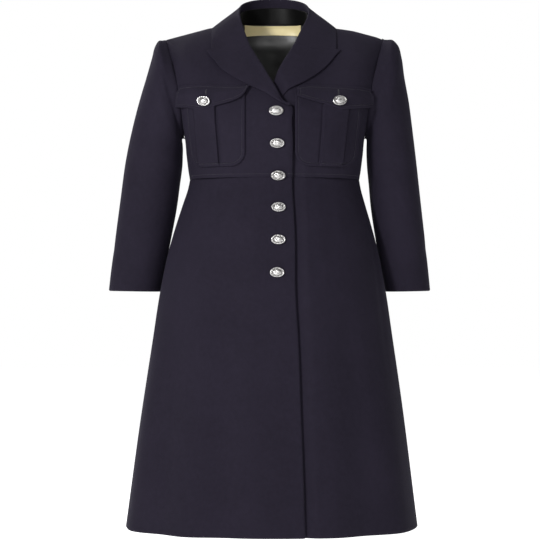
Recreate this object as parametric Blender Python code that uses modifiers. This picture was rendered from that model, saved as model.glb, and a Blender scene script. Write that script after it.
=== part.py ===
"""Military-style coat, filled out as if worn: a hollow cloth garment with nobody in it.

Frame: metres, +Z up, the coat's front faces -Y, the wearer's right is at -X.  The origin lies
between the wearer's shoulders, at the base of the neck.  Tables are in millimetres.
"""
import math

import bmesh
import bpy
import numpy as np
from mathutils import Matrix, Vector

MM = 0.001

# ------------------------------------------------------------------ driving dimensions
WALL = 2.0 * MM              # outer cloth with its interlining
THIN_WALL = 1.4 * MM         # pockets, flaps and lapels
LINING_WALL = 1.0 * MM
SEAM_GAP = 0.4 * MM          # space between two pieces at a seam
LAYER_GAP = 0.6 * MM         # space between cloth lying on cloth

WAIST_SEAM_Z = -270 * MM     # raised waist seam between bodice and skirt
HEM_Z = -890 * MM
BREAK_Z = -147 * MM          # where the lapels start to turn back
SHOULDER_TIP = (196.5 * MM, -20.0 * MM)
UNDERARM = (161.5 * MM, -192.0 * MM)
ARMHOLE_BOW = 6.0 * MM
ARMHOLE_EASE = 1.4 * MM        # more room between sleeve and side at the underarm
NECK_POINT_X = 66 * MM       # where shoulder seam and collar seam meet
NECK_BACK_Z = 20 * MM
NAPE_RISE = 36 * MM
SHOULDER_TOP_Z = 19.5 * MM   # shoulder line, at 50 mm from the centre
SHOULDER_SLOPE = 0.268
BODY_SQUARENESS = 2.45
SKIRT_SQUARENESS = 2.12

# Rings of the body: height, half width, depth in front and behind, sideways shift of the centre.
BODY_COLUMNS = ("z", "half", "front", "back", "centre")
BODY_RINGS = (
    (60, 214, 112, 108, 1.5),
    (0, 213, 117, 112, 1.5),
    (-50, 206, 121, 114, 1.2),
    (-110, 190, 127, 115, 1.0),
    (-150, 176, 129, 113, 1.0),
    (-192, 161.5, 127, 109, 1.0),
    (-227, 158, 120, 103, 1.0),
    (-256, 154.5, 113, 98, 1.0),
    (-270, 152.5, 111, 97, 1.0),
    (-284, 154.7, 113, 99, 0.8),
    (-313, 163.3, 119, 107, 0.0),
    (-349, 174.5, 127, 118, -0.6),
    (-394, 187.0, 134, 129, -1.2),
    (-468, 202.0, 140, 138, -1.8),
    (-558, 215.4, 144, 144, -2.4),
    (-702, 236.8, 149, 150, -3.2),
    (-890, 261.8, 155, 158, -4.0),
)

FLARE_ROWS = (-284, -313, -349, -394)    # heights of the rows that shape the flare below the waist
SKIRT_ROWS = 7                           # rows from there down to the hem
SKIRT_FRONT_STEPS = 17
SKIRT_BACK_STEPS = 26

# Soft folds of the skirt: where round the ring (degrees from the front centre, + to the wearer's
# left), how deep (- is a trough), how wide, and the heights between which the fold fades in.
FOLD_COLUMNS = ("angle", "depth", "width", "top", "full")
SKIRT_FOLDS = (
    (-66, 5.0, 11, -420, -760),
    (-47, -3.2, 8, -520, -840),
    (-33, 4.2, 9, -460, -800),
    (-19, -3.0, 8, -330, -620),
    (24, 3.0, 9, -300, -560),
    (38, -3.6, 9, -480, -820),
    (57, 4.6, 11, -450, -800),
    (112, 4.4, 11, -430, -780),
    (133, -3.4, 9, -520, -840),
    (153, 4.8, 10, -380, -760),
    (174, -3.2, 10, -480, -820),
    (195, 4.4, 10, -420, -780),
    (217, -3.8, 9, -500, -830),
    (242, 4.8, 11, -440, -790),
)

# Front edge of the right front, which laps over the left one.
EDGE_COLUMNS = ("z", "x")
FRONT_EDGE = (
    (-147, 27.5), (-204, 31.5), (-280, 30.5), (-370, 35), (-472, 36), (-560, 41), (-679, 45),
    (-798, 49.5), (-890, 52),
)
UNDERLAP_X = -32 * MM        # where the left front ends, under the right one
UNDERLAP_SINK = 5.6 * MM     # how far it lies below at the lapels
HEM_SINK = 2.6 * MM          # and further down
SINK_WIDTH = 34 * MM

# Fold line of each lapel from the break up to the neck, seen from the front.
ROLL_COLUMNS = ("x", "z")
ROLL_RIGHT = (
    (27.5, -147), (19, -145), (14.5, -140), (9.5, -130.5), (3, -118), (-3, -107),
    (-11.5, -92.5), (-19.6, -78), (-34, -54), (-49.5, -22), (-57, 2), (-66, 15.2),
)
ROLL_LEFT = (
    (-14, -147), (-9, -128), (-3, -111), (2.3, -97), (8.4, -83.7), (18, -65.6),
    (28, -49), (39, -30), (48, -17), (56, 1), (66, 15.2),
)
# Outer edge of each lapel from the break up to its peak, x and z as above.
LAPEL_RIGHT = (
    (17, -146), (2.5, -138), (-12.4, -127.5), (-28, -119.3), (-43.6, -112), (-57.6, -103.7),
    (-70.2, -95.8), (-82, -88.6), (-93, -80), (-102, -68.5), (-111, -57.8), (-117.2, -47.7),
)
LAPEL_LEFT = (
    (-8, -143), (10, -130.6), (24.3, -119.2), (37.8, -112.6), (51.6, -105.3), (66.5, -95.7),
    (77.3, -88.1), (87.9, -79), (98.8, -67.7), (109.9, -53.6), (117.3, -46.8),
)
# Seam between lapel and collar, from the peak in to the fold, x and z as above.
GORGE_RIGHT = ((-117.2, -47.7), (-109.5, -45.5), (-90, -47.5), (-71, -48.5), (-59, -40), (-50, -24))
GORGE_LEFT = ((117.3, -46.8), (109.5, -44.5), (88, -46.5), (68, -47), (54, -36), (46, -20))

# Sleeves: outer edge, inner edge, half depth and middle of each ring, from cap to cuff.
SLEEVE_COLUMNS = ("out_x", "out_z", "in_x", "in_z", "half_depth", "mid_y")
SLEEVE_RIGHT = (
    (208, -20.5, 165.5, -196.5, 63, 1),
    (214.5, -30, 165.5, -200, 64.5, 1),
    (219, -50, 164.8, -205, 65, 2),
    (228.5, -83, 164.2, -213, 64.5, 3),
    (240.5, -127, 164.5, -226, 63, 5),
    (254, -180, 165.4, -246, 61.5, 7),
    (266, -240, 169.5, -276, 59.5, 10),
    (276, -312, 177.5, -322, 56.5, 14),
    (286, -385, 190.5, -387, 53, 20),
    (292.5, -440, 200.5, -441, 50, 26),
    (295.5, -468, 205, -470, 48.5, 29),
)
SLEEVE_LEFT = (
    (212, -20.5, 166.5, -196.5, 63, 1),
    (220, -29, 167, -200, 64.5, 1),
    (227.5, -50, 167, -205, 65, 2),
    (234, -83, 166.8, -213, 64.5, 3),
    (240.5, -127, 167, -226, 63, 5),
    (247.5, -180, 168, -246, 61.5, 7),
    (255, -240, 171, -276, 59.5, 10),
    (263.5, -312, 177, -322, 56.5, 14),
    (271, -385, 187.5, -387, 53, 20),
    (277, -440, 197, -441, 50, 26),
    (280, -468, 201.8, -470, 48.5, 29),
)

# Patch pockets, x measured outwards from the centre line: outline and folds of the box pleat.
POCKET_TOP_Z = -128 * MM
POCKET_BOTTOM_Z = -251 * MM
POCKET_CORNER = 25 * MM
POCKET_COLUMNS = ("inner", "outer_top", "outer_low", "fold1_top", "fold1_low", "fold2_top", "fold2_low")
POCKET_RIGHT = (50.5, 158, 145, 104.5, 94.5, 139, 127)
POCKET_LEFT = (36.5, 155, 141, 88, 79, 130, 116)
PLEAT_RISE = 1.5 * MM
PLEAT_EDGE = 0.8 * MM

# Flap outline, x measured outwards from the centre line.
FLAP_COLUMNS = ("x", "top", "bottom")
FLAP_RIGHT = (
    (43.5, -112.5, -116), (50, -112.5, -128), (57, -112.3, -135), (71.5, -111.8, -141.2),
    (102.5, -110.5, -148.3), (122.6, -109.3, -153), (154, -108.5, -145), (177, -110, -142.5),
)
FLAP_LEFT = (
    (40, -114.5, -133.5), (62, -111, -139.5), (90, -111.5, -146), (114.3, -112.8, -153),
    (131.6, -113, -150), (150, -113, -146.5), (180, -114.5, -142),
)
FLAP_WIDE = 12
FLAP_HIGH = 5
FLAP_STAND_OFF = 7.0 * MM
FLAP_HOLD_X = 158 * MM       # past here the flap leaves the chest and reaches over the armhole
FLAP_STRAIGHT = 0.5          # share of the chest's slope that it keeps there

# Section of the lapel's roll: distance past the fold line, height over the chest.
ROLL_SECTION_COLUMNS = ("ahead", "lift")
LAPEL_ROLL = ((0.4, 0.8), (-0.9, 2.2), (0.2, 3.8), (2.4, 4.6))
# The same for the collar's front end, above the gorge.
COLLAR_END = ((0.0, 0.8), (-0.5, 1.4), (-0.8, 2.2), (-0.4, 3.2), (1.2, 4.2), (3.4, 4.7))
LAPEL_REST = 1.2 * MM        # air under the lapel
LAPEL_PUFF = 2.2 * MM

# Buttons: cast metal, wider than high.
BUTTON_HEIGHT_RATIO = 0.675
BUTTON_TALL = 5.6 * MM
BUTTON_SEAT = 0.35 * MM
BUTTON_STEPS = 14
BUTTON_COLUMNS = ("name", "x", "z", "tilt", "width", "off")
BUTTONS = (
    ("button_front_1", 3.3, -156.4, 0, 24.4, 0),
    ("button_front_2", 5.1, -212.4, 0, 24.4, 0),
    ("button_front_3", 7.0, -267.9, 0, 24.4, 1.2),
    ("button_front_4", 7.5, -323.5, 0, 24.4, 0),
    ("button_front_5", 7.0, -379.6, 0, 24.4, 0),
    ("button_front_6", 5.0, -436.0, 0, 24.4, 0),
    ("button_pocket_right", -122, -140.5, -8, 23, 7.1),
    ("button_pocket_left", 112, -140.8, 8, 23, 7.1),
)

# Collar: seam on the neck, fold above it and outer edge of the fall, from the front to the nape.
COLLAR_COLUMNS = ("seam_x", "seam_y", "seam_z", "fold_x", "fold_y", "fold_z", "edge_x", "edge_y", "edge_z")
COLLAR_HALF = (
    (50, -51, -21, 49, -58, -20, 109.5, -58, -41),
    (57.5, -25, 4, 54.5, -32, 11, 110.5, -38, -20),
    (63.5, -3, 14, 56.5, -8, 29.5, 111.5, -16, -2),
    (66, 15, 17.2, 57, 14, 41, 111.5, 7, 8),
    (61.5, 37, 17.8, 53.5, 35, 48, 106, 36, 3),
    (46, 58, 19.4, 41.5, 56, 55, 82, 64, -7),
    (23.5, 72, 21, 21, 70, 59, 43, 82, -8),
    (0, 78, 21.6, 0, 75.5, 60.5, 0, 90, -8),
)
COLLAR_FOLD_WIDTH = 5.2 * MM
COLLAR_FOOT = 0.5 * MM
COLLAR_PUFF = 2.0 * MM

COLLAR_STEPS = 28
FALL_STEPS = 5
GORGE_LENGTH = 80 * MM
GORGE_GAP = 0.9 * MM
GORGE_PUFF = 1.6 * MM
STAND_STEPS = 24
STAND_REACH = 0.72
STAND_GAP = 1.4 * MM
STAND_SHARES = (0.08, 0.3, 0.55, 0.78)
LINING_LIFT = 1.2 * MM        # air between back and lining
LABEL_LIFT = 1.0 * MM
LABEL_LEFT = -58 * MM
LABEL_RIGHT = 53 * MM
LABEL_TALL = 21.5 * MM
LABEL_DROP = 1.5 * MM
LABEL_WIDE = 16
LABEL_HIGH = 2

LAPEL_HIGH = 14
LAPEL_WIDE = 6
POCKET_HIGH = 10
POCKET_LIFT = 1.6 * MM       # the pocket stands a little off the curved chest
GRID_ACROSS = 12
NECK_STEPS = 5
ARMHOLE_STEPS = 11

CLOTH = ("coat_cloth", (0.024, 0.021, 0.033), 0.85, 0.0)
LINING = ("lining_satin", (0.012, 0.012, 0.012), 0.4, 0.0)
LABEL = ("label_satin", (0.52, 0.45, 0.27), 0.5, 0.0)
SILVER = ("button_silver", (0.62, 0.61, 0.6), 0.3, 1.0)


# ------------------------------------------------------------------ tables and curves
def column(rows, columns, name):
    """One named column of a table in millimetres, in metres."""
    return np.array([row[columns.index(name)] for row in rows], float) * MM


def section(rows):
    """A roll's section as pairs in metres."""
    return zip(*(column(rows, ROLL_SECTION_COLUMNS, name) for name in ROLL_SECTION_COLUMNS))


def smooth_at(keys, values, at):
    """Value of a smooth curve through (keys, values); keys may fall or rise."""
    if keys[0] > keys[-1]:
        keys, values = keys[::-1], values[::-1]
    slopes = np.gradient(values, keys)
    at = min(max(at, keys[0]), keys[-1])
    i = min(int(np.searchsorted(keys, at, side="right")) - 1, len(keys) - 2)
    span = keys[i + 1] - keys[i]
    t = (at - keys[i]) / span
    start = values[i] * (1 + 2 * t) * (1 - t) ** 2 + slopes[i] * span * t * (1 - t) ** 2
    end = values[i + 1] * t * t * (3 - 2 * t) + slopes[i + 1] * span * t * t * (t - 1)
    return float(start + end)


def along(points, share):
    """Point at a share of the length of a smooth path through points."""
    points = np.array(points, float)
    steps = np.linalg.norm(np.diff(points, axis=0), axis=1)
    length = np.concatenate([[0.0], np.cumsum(steps)])
    at = share * length[-1]
    return np.array([smooth_at(length, points[:, k], at) for k in range(points.shape[1])])


def smoothstep(low, high, value):
    t = min(max((value - low) / (high - low), 0.0), 1.0)
    return t * t * (3 - 2 * t)


BODY = {name: column(BODY_RINGS, BODY_COLUMNS, name) for name in BODY_COLUMNS}
EDGE = {name: column(FRONT_EDGE, EDGE_COLUMNS, name) for name in EDGE_COLUMNS}


def ring(name, z):
    return smooth_at(BODY["z"], BODY[name], z)


def edge_x(z):
    return smooth_at(EDGE["z"], EDGE["x"], z)


# ------------------------------------------------------------------ form of the body
def shoulder_line(x):
    """Height of the shoulder seam at a distance from the centre."""
    return SHOULDER_TOP_Z - SHOULDER_SLOPE * (abs(x) - 50 * MM)


def nape_rise(x, z):
    """The back reaches higher than the shoulder line round the nape."""
    t = min(abs(x) / NECK_POINT_X, 1.0)
    return NAPE_RISE * math.sqrt(1 - t * t) * smoothstep(-30 * MM, NECK_BACK_Z, z)


def side_roll(share):
    share = min(share, 1.0)
    return (1 - share ** BODY_SQUARENESS) ** (1 / BODY_SQUARENESS)


def top_roll(below, reach):
    """Share of the full depth at a height below the shoulder line."""
    t = min(max(below / reach, 0.0), 1.0)
    return (1 - (1 - t) ** 1.5) ** (1 / 1.7)


def middle_y(z):
    return 10 * MM * smoothstep(-260 * MM, 0.0, z)


def chest_reach(x):
    return (200 - 95 * smoothstep(70 * MM, 165 * MM, abs(x))) * MM


def front_y(x, z):
    share = abs(x - ring("centre", z)) / ring("half", z)
    top = top_roll(shoulder_line(x) - z, chest_reach(x))
    return middle_y(z) - ring("front", z) * side_roll(share) * top


def back_y(x, z):
    share = abs(x - ring("centre", z)) / ring("half", z)
    reach = (160 - 65 * smoothstep(70 * MM, 165 * MM, abs(x))) * MM
    top = top_roll(shoulder_line(x) + nape_rise(x, z) - z, reach)
    return middle_y(z) + ring("back", z) * side_roll(share) * top


def front_point(x, z, lift=0.0):
    """Point of the chest, moved out by lift along the surface's own normal."""
    return surface_point(front_y, x, z, lift, -1.0)


def back_point(x, z, lift=0.0):
    return surface_point(back_y, x, z, lift, 1.0)


def surface_point(depth, x, z, lift, facing):
    y = depth(x, z)
    if not lift:
        return np.array([x, y, z])
    step = 2 * MM
    slope_x = (depth(x + step, z) - depth(x - step, z)) / (2 * step)
    slope_z = (depth(x, z + step) - depth(x, z - step)) / (2 * step)
    slope_x = max(min(slope_x, 2.5), -2.5)
    slope_z = max(min(slope_z, 2.5), -2.5)
    normal = np.array([-slope_x, 1.0, -slope_z]) * facing
    normal /= np.linalg.norm(normal)
    return np.array([x, y, z]) + normal * lift


def fold_height(angle, z):
    """How far the skirt's soft folds stand out at an angle in degrees."""
    total = 0.0
    for row in SKIRT_FOLDS:
        fold = dict(zip(FOLD_COLUMNS, row))
        apart = (angle - fold["angle"] + 180) % 360 - 180
        ramp = smoothstep(-fold["top"] * MM, -fold["full"] * MM, -z)
        total += fold["depth"] * MM * ramp * math.exp(-(apart / fold["width"]) ** 2)
    return total


def skirt_point(angle, z, sink=0.0):
    """Point of the skirt's ring at an angle from the front centre, + to the wearer's left."""
    turn = math.radians(angle)
    power = 2 / SKIRT_SQUARENESS
    side = math.copysign(abs(math.sin(turn)) ** power, math.sin(turn))
    ahead = math.copysign(abs(math.cos(turn)) ** power, math.cos(turn))
    depth = ring("front", z) if ahead > 0 else ring("back", z)
    out = fold_height(angle, z) - sink
    x = ring("centre", z) + ring("half", z) * side + out * math.sin(turn)
    y = -depth * ahead - out * math.cos(turn)
    return np.array([x, y, z])


def skirt_angle(x, z):
    """Angle of the skirt's front point at a sideways place."""
    share = (x - ring("centre", z)) / ring("half", z)
    turn = math.asin(min(abs(share), 1.0) ** (SKIRT_SQUARENESS / 2))
    return math.degrees(math.copysign(turn, share))


ROLL_X = column(ROLL_RIGHT, ROLL_COLUMNS, "x")
ROLL_Z = column(ROLL_RIGHT, ROLL_COLUMNS, "z")


def cover_x(z):
    """Where the right front, or the fold of its lapel, ends at a height."""
    return edge_x(z) if z < BREAK_Z else float(np.interp(z, ROLL_Z, ROLL_X))


def underlap_sink(x, z):
    """How far the left front lies under the right one."""
    depth = HEM_SINK + (UNDERLAP_SINK - HEM_SINK) * smoothstep(-300 * MM, -170 * MM, z)
    start = cover_x(z) + 4 * MM
    return depth * (1 - smoothstep(start, start + SINK_WIDTH, x))


def open_share(x, z):
    """0 under the right front, 1 well clear of it."""
    start = cover_x(z) + 2 * MM
    return smoothstep(start, start + 20 * MM, x)


# ------------------------------------------------------------------ objects
for old in list(bpy.data.objects):
    bpy.data.objects.remove(old, do_unlink=True)

coat = bpy.data.collections.new("military_style_coat")
bpy.context.scene.collection.children.link(coat)


def material(name, spec):
    kind, colour, roughness, metallic = spec
    made = bpy.data.materials.new(f"{kind}_{name}")
    made.use_nodes = True
    shader = made.node_tree.nodes["Principled BSDF"]
    shader.inputs["Base Color"].default_value = (*colour, 1.0)
    shader.inputs["Roughness"].default_value = roughness
    shader.inputs["Metallic"].default_value = metallic
    return made


def grid_mesh(name, rows, close_rows=False):
    """Quads over a table of points: rows of equal length, closed round if asked."""
    shape = bmesh.new()
    verts = [[shape.verts.new(Vector(point)) for point in row] for row in rows]
    count = len(rows[0])
    last = count if close_rows else count - 1
    for low, high in zip(verts[:-1], verts[1:]):
        for i in range(last):
            j = (i + 1) % count
            shape.faces.new((low[i], low[j], high[j], high[i]))
    return shape


def add_object(name, shape, spec):
    mesh = bpy.data.meshes.new(name)
    shape.to_mesh(mesh)
    shape.free()
    mesh.shade_smooth()
    mesh.materials.append(material(name, spec))
    made = bpy.data.objects.new(name, mesh)
    coat.objects.link(made)
    return made


def cloth(name, rows, thickness=WALL, spec=CLOTH, close_rows=False, flip=False):
    """An open sheet through rows of points, given its wall on the inner side."""
    shape = grid_mesh(name, rows, close_rows)
    if flip:
        bmesh.ops.reverse_faces(shape, faces=shape.faces[:])
    made = add_object(name, shape, spec)
    wall = made.modifiers.new("Wall", "SOLIDIFY")
    wall.thickness = thickness
    wall.offset = -1.0
    wall.use_even_offset = False
    return made


def raised_cloth(name, outer, inner, spec=CLOTH, flip=False):
    """A closed sheet whose outer points stand higher than a plain inner side."""
    shape = bmesh.new()
    top = [[shape.verts.new(Vector(point)) for point in row] for row in outer]
    base = [[shape.verts.new(Vector(point)) for point in row] for row in inner]
    high, wide = len(outer), len(outer[0])
    for r in range(high - 1):
        for c in range(wide - 1):
            shape.faces.new((top[r][c], top[r][c + 1], top[r + 1][c + 1], top[r + 1][c]))
            shape.faces.new((base[r][c], base[r + 1][c], base[r + 1][c + 1], base[r][c + 1]))
    rim = [(0, c) for c in range(wide)] + [(r, wide - 1) for r in range(1, high)]
    rim += [(high - 1, c) for c in range(wide - 2, -1, -1)] + [(r, 0) for r in range(high - 2, 0, -1)]
    for (r, c), (s, d) in zip(rim, rim[1:] + rim[:1]):
        shape.faces.new((top[r][c], base[r][c], base[s][d], top[s][d]))
    if flip:
        bmesh.ops.reverse_faces(shape, faces=shape.faces[:])
    return add_object(name, shape, spec)


def grid_normals(rows):
    """Normal at every point of a table of points."""
    points = np.array(rows)
    across = np.gradient(points, axis=1)
    along_rows = np.gradient(points, axis=0)
    normals = np.cross(across, along_rows)
    return normals / np.maximum(np.linalg.norm(normals, axis=2, keepdims=True), 1e-12)


def seamed_cloth(name, rows, seams, thickness=WALL, spec=CLOTH, flip=False):
    """A sheet whose wall ends square at the seams that lie in a plane across the coat."""
    normals = grid_normals(rows)
    if flip:
        normals = -normals
    for seam in seams:
        normals[seam][:, 1] = 0.0
    normals /= np.maximum(np.linalg.norm(normals, axis=2, keepdims=True), 1e-12)
    inner = np.array(rows) - normals * thickness
    return raised_cloth(name, rows, inner, spec, flip)


# ------------------------------------------------------------------ armholes and sleeves
def armhole_frontal(turn, side):
    """The armhole seen from the front: 0 at the underarm, 180 at the shoulder tip."""
    share = (1 - math.cos(math.radians(turn))) / 2
    x = UNDERARM[0] + (SHOULDER_TIP[0] - UNDERARM[0]) * share
    x -= ARMHOLE_BOW * math.sin(math.pi * share)
    z = UNDERARM[1] + (SHOULDER_TIP[1] - UNDERARM[1]) * share
    return side * x + ring("centre", z), z


def armhole_loop(side):
    """The seam all round: up the front, over the shoulder and down the back."""
    turns = [180 * k / ARMHOLE_STEPS for k in range(ARMHOLE_STEPS + 1)]
    front = [np.array([*armhole_frontal(t, side)]) for t in turns]
    loop = [np.array([x, front_y(x, z), z]) for x, z in front]
    loop += [np.array([x, back_y(x, z), z]) for x, z in reversed(front[1:-1])]
    return loop


def sleeve(name, table, side):
    """Rings from the armhole seam down to the cuff, each tilted less than the last."""
    data = {key: column(table, SLEEVE_COLUMNS, key) for key in SLEEVE_COLUMNS}
    first = armhole_loop(side)
    count = len(first)
    rows = [[]]
    for i, point in enumerate(first):
        low = (1 + math.cos(2 * math.pi * i / count)) / 2
        rows[0].append(point + np.array([side * (SEAM_GAP * 1.5 + ARMHOLE_EASE * low), 0, 0]))
    for k in range(len(table)):
        outer = np.array([side * data["out_x"][k], data["out_z"][k]])
        inner = np.array([side * data["in_x"][k], data["in_z"][k]])
        middle = (outer + inner) / 2
        reach = (outer - inner) / 2
        round_ring = []
        for i in range(count):
            turn = 2 * math.pi * i / count
            across = -math.copysign(abs(math.cos(turn)) ** 0.92, math.cos(turn))
            ahead = -math.copysign(abs(math.sin(turn)) ** 0.92, math.sin(turn))
            spot = middle + reach * across
            y = data["mid_y"][k] + data["half_depth"][k] * ahead
            round_ring.append(np.array([spot[0], y, spot[1]]))
        rows.append(round_ring)
    return cloth(name, rows, close_rows=True, flip=side < 0)


# ------------------------------------------------------------------ bodice
def side_rows():
    """Heights of the side seam rows, from the waist seam up to the underarm."""
    low = WAIST_SEAM_Z + SEAM_GAP / 2
    return [low + (UNDERARM[1] - low) * k / 5 for k in range(5)]


def outer_boundary(side):
    """Side seam and armhole of a bodice piece, seen from the front."""
    rows = [(ring("centre", z) + side * ring("half", z), z) for z in side_rows()]
    turns = [180 * k / ARMHOLE_STEPS for k in range(ARMHOLE_STEPS + 1)]
    return rows + [armhole_frontal(t, side) for t in turns]


def bodice_rows(inner_path, side, depth_point, seam_shift, sink=None):
    """Rows of points from an inner path to the side seam and armhole."""
    outer = outer_boundary(side)
    power = 2 / BODY_SQUARENESS
    rows = []
    for k, (out_x, out_z) in enumerate(outer):
        in_x, in_z = along(inner_path, k / (len(outer) - 1))
        row = []
        for i in range(GRID_ACROSS + 1):
            share = math.sin(math.pi / 2 * i / GRID_ACROSS) ** power
            x = in_x + (out_x - in_x) * share
            z = in_z + (out_z - in_z) * share
            if k == len(outer) - 1:
                z = shoulder_line(x)
            point = depth_point(x, z, -sink(x, z) if sink else 0.0)
            point[1] += seam_shift
            row.append(point)
        rows.append(row)
    return rows


def front_inner_path(roll, low_x):
    """Front edge up to the break, then the lapel's fold line up to the neck point."""
    low = WAIST_SEAM_Z + SEAM_GAP / 2
    edge = [(low_x(low + (BREAK_Z - low) * k / 4), low + (BREAK_Z - low) * k / 4) for k in range(4)]
    return edge + [(x * MM, z * MM) for x, z in roll]


def bodice_fronts():
    right = front_inner_path(ROLL_RIGHT, edge_x)
    left = front_inner_path(ROLL_LEFT, lambda z: UNDERLAP_X + 20 * MM * smoothstep(-270 * MM, BREAK_Z, z))
    side_edge = np.s_[:6, -1]
    shoulder_edge = np.s_[-1, :]
    seams = (side_edge, shoulder_edge)
    seamed_cloth("bodice_front_right", bodice_rows(right, -1, front_point, -SEAM_GAP * 0.5), seams, flip=True)
    rows = bodice_rows(left, 1, front_point, -SEAM_GAP * 0.5, underlap_sink)
    seamed_cloth("bodice_front_left", rows, seams)


def back_neck_z(x):
    t = min(abs(x) / NECK_POINT_X, 1.0)
    return NECK_BACK_Z + (shoulder_line(NECK_POINT_X) - NECK_BACK_Z) * t * t


def bodice_back():
    seams = (np.s_[:6, 0], np.s_[:6, -1], np.s_[-1, :8], np.s_[-1, -8:])
    seamed_cloth("bodice_back", back_rows(0.0), seams, flip=True)


def back_top_x(i, tip_x):
    """Places along the top edge: round the neck first, then along the shoulder."""
    side = math.copysign(1.0, tip_x)
    if i <= NECK_STEPS:
        return side * NECK_POINT_X * math.sin(math.pi / 2 * i / NECK_STEPS)
    share = (i - NECK_STEPS) / (GRID_ACROSS - NECK_STEPS)
    return side * NECK_POINT_X + (tip_x - side * NECK_POINT_X) * share


def back_rows(lift=0.0):
    """The back from the waist seam to the neck and shoulders, one side then the other."""
    half = {}
    low = WAIST_SEAM_Z + SEAM_GAP / 2
    for side in (-1, 1):
        outer = outer_boundary(side)
        last = len(outer) - 1
        rows = []
        for k, (out_x, out_z) in enumerate(outer):
            up = k / last
            mid_z = low + (NECK_BACK_Z - low) * up
            row = []
            for i in range(GRID_ACROSS + 1):
                share = math.sin(math.pi / 2 * i / GRID_ACROSS) ** (2 / BODY_SQUARENESS)
                top_share = back_top_x(i, outer[-1][0]) / outer[-1][0]
                share += (top_share - share) * up * up
                x = out_x * share
                edge_z = back_neck_z(x) if i <= NECK_STEPS else shoulder_line(x)
                z = mid_z + (out_z - mid_z) * share
                z += (edge_z - z) * smoothstep(0.7, 1.0, up)
                point = back_point(x, z, lift)
                point[1] += SEAM_GAP * 0.5
                row.append(point)
            rows.append(row)
        half[side] = rows
    return [list(reversed(left)) + right[1:] for left, right in zip(half[-1], half[1])]


# ------------------------------------------------------------------ skirt
SKIRT_HEIGHTS = [WAIST_SEAM_Z - SEAM_GAP / 2, *(z * MM for z in FLARE_ROWS)]
SKIRT_HEIGHTS += np.linspace(FLARE_ROWS[-1] * MM, HEM_Z, SKIRT_ROWS + 1)[1:].tolist()


def skirt_panel(name, start, end, steps, sink=None):
    """A skirt piece between two angles, each a function of height."""
    rows = []
    for z in SKIRT_HEIGHTS:
        low, high = start(z), end(z)
        row = []
        for i in range(steps + 1):
            angle = low + (high - low) * i / steps
            point = skirt_point(angle, z)
            if sink:
                point = skirt_point(angle, z, sink(point[0], z))
            row.append(point)
        rows.append(row)
    return cloth(name, rows, flip=True)


def seam_angle(z):
    """Half the side seam's gap as an angle."""
    return math.degrees(SEAM_GAP * 0.75 / ring("half", z)) + 0.02


def skirt():
    skirt_panel("skirt_front_right", lambda z: -90 + seam_angle(z), lambda z: skirt_angle(edge_x(z), z),
                SKIRT_FRONT_STEPS)
    skirt_panel("skirt_front_left", lambda z: skirt_angle(UNDERLAP_X, z), lambda z: 90 - seam_angle(z),
                SKIRT_FRONT_STEPS, underlap_sink)
    skirt_panel("skirt_back", lambda z: 90 + seam_angle(z), lambda z: 270 - seam_angle(z), SKIRT_BACK_STEPS)


# ------------------------------------------------------------------ buttons
def button_profile(width):
    """From the dome's top down the outer side to the back: radius and height."""
    r = width / 2
    rim = BUTTON_TALL * 0.42
    return ((0, BUTTON_TALL), (r * 0.35, BUTTON_TALL * 0.95), (r * 0.62, BUTTON_TALL * 0.76),
            (r * 0.78, rim), (r * 0.87, rim * 1.25), (r, rim * 0.8), (r * 0.94, rim * 0.2),
            (r * 0.8, 0), (0, 0))


def button(name, point, normal, tilt, width):
    shape = bmesh.new()
    verts = [shape.verts.new((radius, 0, height)) for radius, height in button_profile(width)]
    for first, second in zip(verts[:-1], verts[1:]):
        shape.edges.new((first, second))
    made = add_object(name, shape, SILVER)
    screw = made.modifiers.new("Turn", "SCREW")
    screw.steps = BUTTON_STEPS
    screw.render_steps = BUTTON_STEPS
    screw.use_merge_vertices = True
    screw.merge_threshold = 0.00005
    out = Vector(normal).normalized()
    across = Vector((0, 0, 1)).cross(out).normalized()
    turned = Matrix.Rotation(math.radians(tilt), 3, out)
    across = turned @ across
    up = out.cross(across)
    seat = Vector(point) + out * BUTTON_SEAT
    matrix = Matrix((across, up * BUTTON_HEIGHT_RATIO, out)).transposed().to_4x4()
    matrix.translation = seat
    made.matrix_world = matrix


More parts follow.
